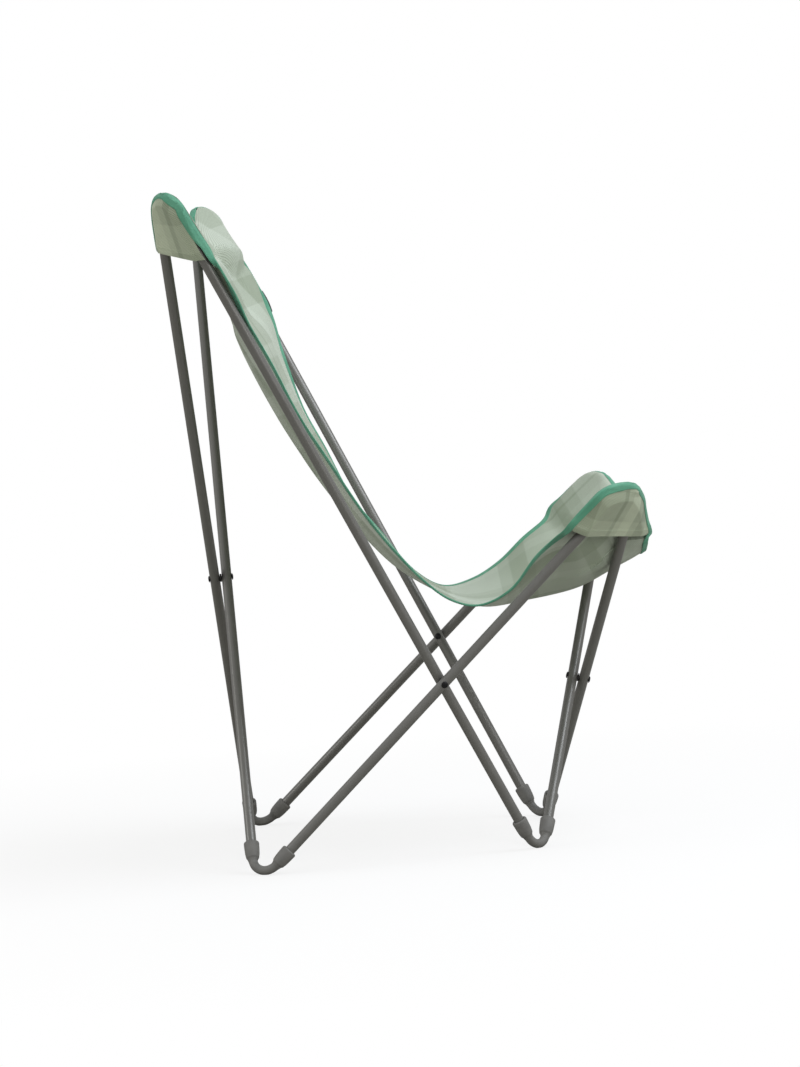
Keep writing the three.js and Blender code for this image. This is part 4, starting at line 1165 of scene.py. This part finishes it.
patchRows = {
    "backR": {"node": "pocket_back_r", "body": "back_bar_rear", "elbow": "elbow_back_top_r_moulded",
              "flat": (0.135, 0.120), "area": 0.0084},
    "backL": {"node": "pocket_back_l", "body": "back_bar_forward", "elbow": "elbow_back_top_l_moulded",
              "flat": (0.135, 0.120), "area": 0.0080},
    "frontR": {"node": "pocket_front_r", "body": "short_bar_r", "elbow": "elbow_front_top_r_moulded",
               "flat": (0.185, 0.115), "area": 0.0139},
    "frontL": {"node": "pocket_front_l", "body": "short_bar_l", "elbow": "elbow_front_top_l_moulded",
               "flat": (0.155, 0.115), "area": 0.0095},
}
for key, row in patchRows.items():
    row["made"] = makePatch(key, row["node"], row["body"])
print("pocket patches made")


tabSize = {"height": 0.896, "long": 0.043, "reach": 0.0052, "thick": 0.0016, "root": 0.001, "rows": 25, "search": 3000}


def makeTab():
    # a folded tape: a flat loop with a round outer side, swept along the edge from the tab's height downward
    dense = np.linspace(0, creaseShare, tabSize["search"])
    line = slingPoints(np.ones_like(dense), dense)
    start = dense[np.argmax(line[:, 2] <= tabSize["height"])]
    down = start + np.linspace(0, 1, tabSize["rows"]) * tabSize["long"] / edge["left"].length
    outer = slingPoints(np.ones_like(down), down)
    out = unit(outer - slingPoints(1 - insetAcross(down), down))
    run = unit(np.gradient(outer, axis=0))
    face = unit(np.cross(run, out))
    half, reach, root = tabSize["thick"] / 2, tabSize["reach"], -tabSize["root"]
    turn = np.linspace(-math.pi / 2, math.pi / 2, 7)
    nose = [(reach - half + half * math.cos(t), half * math.sin(t)) for t in turn]
    place, height = np.array([(root, -half)] + nose + [(root, half)]).T
    rings = outer[:, None] + place[None, :, None] * out[:, None] + height[None, :, None] * face[:, None]
    along = np.linspace(0, tabSize["long"], tabSize["rows"])[:, None]
    uv = np.stack(np.broadcast_arrays(along, (place + height)[None, :]), -1)
    piece = sweptRings("edge_tab_tape", rings, tapeBlack, uv.reshape(-1, 2))
    return settle(piece, "edge_tab", "sling_back_panel", 50)


tab = makeTab()
print("tab made")


for piece in (slingBack, slingSeat, tapeBack, tapeSeat, stitchesBack, stitchesSeat, tab):
    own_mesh(piece)


def paleFloor():
    # Painted studio floor, matt. The camera sees it white with a faint shadow; the light that it sends up to the
    # object is that of a darker floor, as in the photograph, where the undersides are dark.
    material, tree, shader = newMaterial("paleFloor", {"Roughness": 0.9})
    place, path = objectPlace(tree), addNode(tree, "ShaderNodeLightPath").outputs["Is Camera Ray"]
    colour = mixColour(tree, noise(tree, place, 900.0, 2.0), "f2f2f1", "f7f7f6")
    dress(tree, shader, mixColour(tree, path, "a8a69f", colour))
    glow = addNode(tree, "ShaderNodeEmission", {"Color": (1, 1, 1, 1), "Strength": 1.0})
    reach = addNode(tree, "ShaderNodeVectorMath", {0: place}, operation="LENGTH").outputs["Value"]
    share = mathNode(tree, "MULTIPLY", path, mapRange(tree, reach, 0.5, 1.6, 0.8, 1.0))
    mix = addNode(tree, "ShaderNodeMixShader", {0: share, 1: shader.outputs[0], 2: glow.outputs[0]})
    output = next(n for n in tree.nodes if n.bl_idname == "ShaderNodeOutputMaterial")
    tree.links.new(mix.outputs[0], output.inputs[0])
    return material


floorSize = {"half": 60.0, "drop": 0.0002}
floorPoints = np.array([(-1, -1), (1, -1), (1, 1), (-1, 1)]) * floorSize["half"]
floorPoints = np.column_stack([floorPoints, np.full(4, -floorSize["drop"])])
makeMesh("floor", floorPoints, [(0, 1, 2, 3)], paleFloor())

world = bpy.data.worlds.new("softStudio")
bpy.context.scene.world = world
world.use_nodes = True
tree = world.node_tree
tree.nodes.clear()
path = addNode(tree, "ShaderNodeLightPath")
seen = mathNode(tree, "MAXIMUM", path.outputs["Is Camera Ray"], path.outputs["Is Transmission Ray"])
around, behind = (addNode(tree, "ShaderNodeBackground", {"Color": (1, 1, 1, 1), "Strength": strength}).outputs[0]
                  for strength in (0.56, 1.0))
worldMix = addNode(tree, "ShaderNodeMixShader", {0: seen, 1: around, 2: behind})
addNode(tree, "ShaderNodeOutputWorld", {0: worldMix.outputs[0]})

lamps = {
    "overhead": {"place": (-0.4, -1.7, 3.0), "size": 2.2, "power": 66, "colour": "eff5ff"},
    "cameraSide": {"place": (-3.0, -2.2, 1.6), "size": 1.6, "power": 22, "colour": "ffffff"},
    "rearSide": {"place": (-0.8, 3.0, 1.4), "size": 1.4, "power": 20, "colour": "ffffff"},
}
aim = np.array([0, 0, 0.55])


def placeObject(name, data, right, up, back, place):
    # an object at the place, its own three axes along the three directions
    matrix = np.eye(4)
    matrix[:3] = np.column_stack([right, up, back, place])
    made = addObject(name, data)
    made.matrix_world = Matrix(matrix.tolist())
    return made


for name, row in lamps.items():
    data = bpy.data.lights.new(name, "AREA")
    data.energy, data.size, data.color = row["power"], row["size"], linear(row["colour"])[:3]
    away = unit(np.array(row["place"]) - aim)
    placeObject(name, data, *squareTo(away), away, row["place"])

# the camera of the photograph: its place, where it looks, how it is rolled, and its focal length and the picture's
# longer side in pixels
cameraSize = {"place": (-6.7932, 0.044, 0.8864), "yaw": -0.182, "pitch": 3.303, "roll": -3.689, "focal": 4235,
              "long": 1067, "sensor": 36}


def makeCamera():
    # it looks along (cos pitch cos yaw, cos pitch sin yaw, -sin pitch) and is then rolled about that direction
    yaw, pitch, roll = (math.radians(cameraSize[k]) for k in ("yaw", "pitch", "roll"))
    look = np.array([math.cos(pitch) * math.cos(yaw), math.cos(pitch) * math.sin(yaw), -math.sin(pitch)])
    right = unit(np.cross(look, [0, 0, 1]))
    up = np.cross(right, look)
    data = bpy.data.cameras.new("camera")
    data.sensor_width = cameraSize["sensor"]
    data.lens = cameraSize["focal"] * cameraSize["sensor"] / cameraSize["long"]
    turnedRight = math.cos(roll) * right + math.sin(roll) * up
    turnedUp = math.cos(roll) * up - math.sin(roll) * right
    bpy.context.scene.camera = placeObject("camera", data, turnedRight, turnedUp, -look, cameraSize["place"])


makeCamera()
bpy.context.scene.view_settings.view_transform = "Standard"
print("stage, light and camera made")
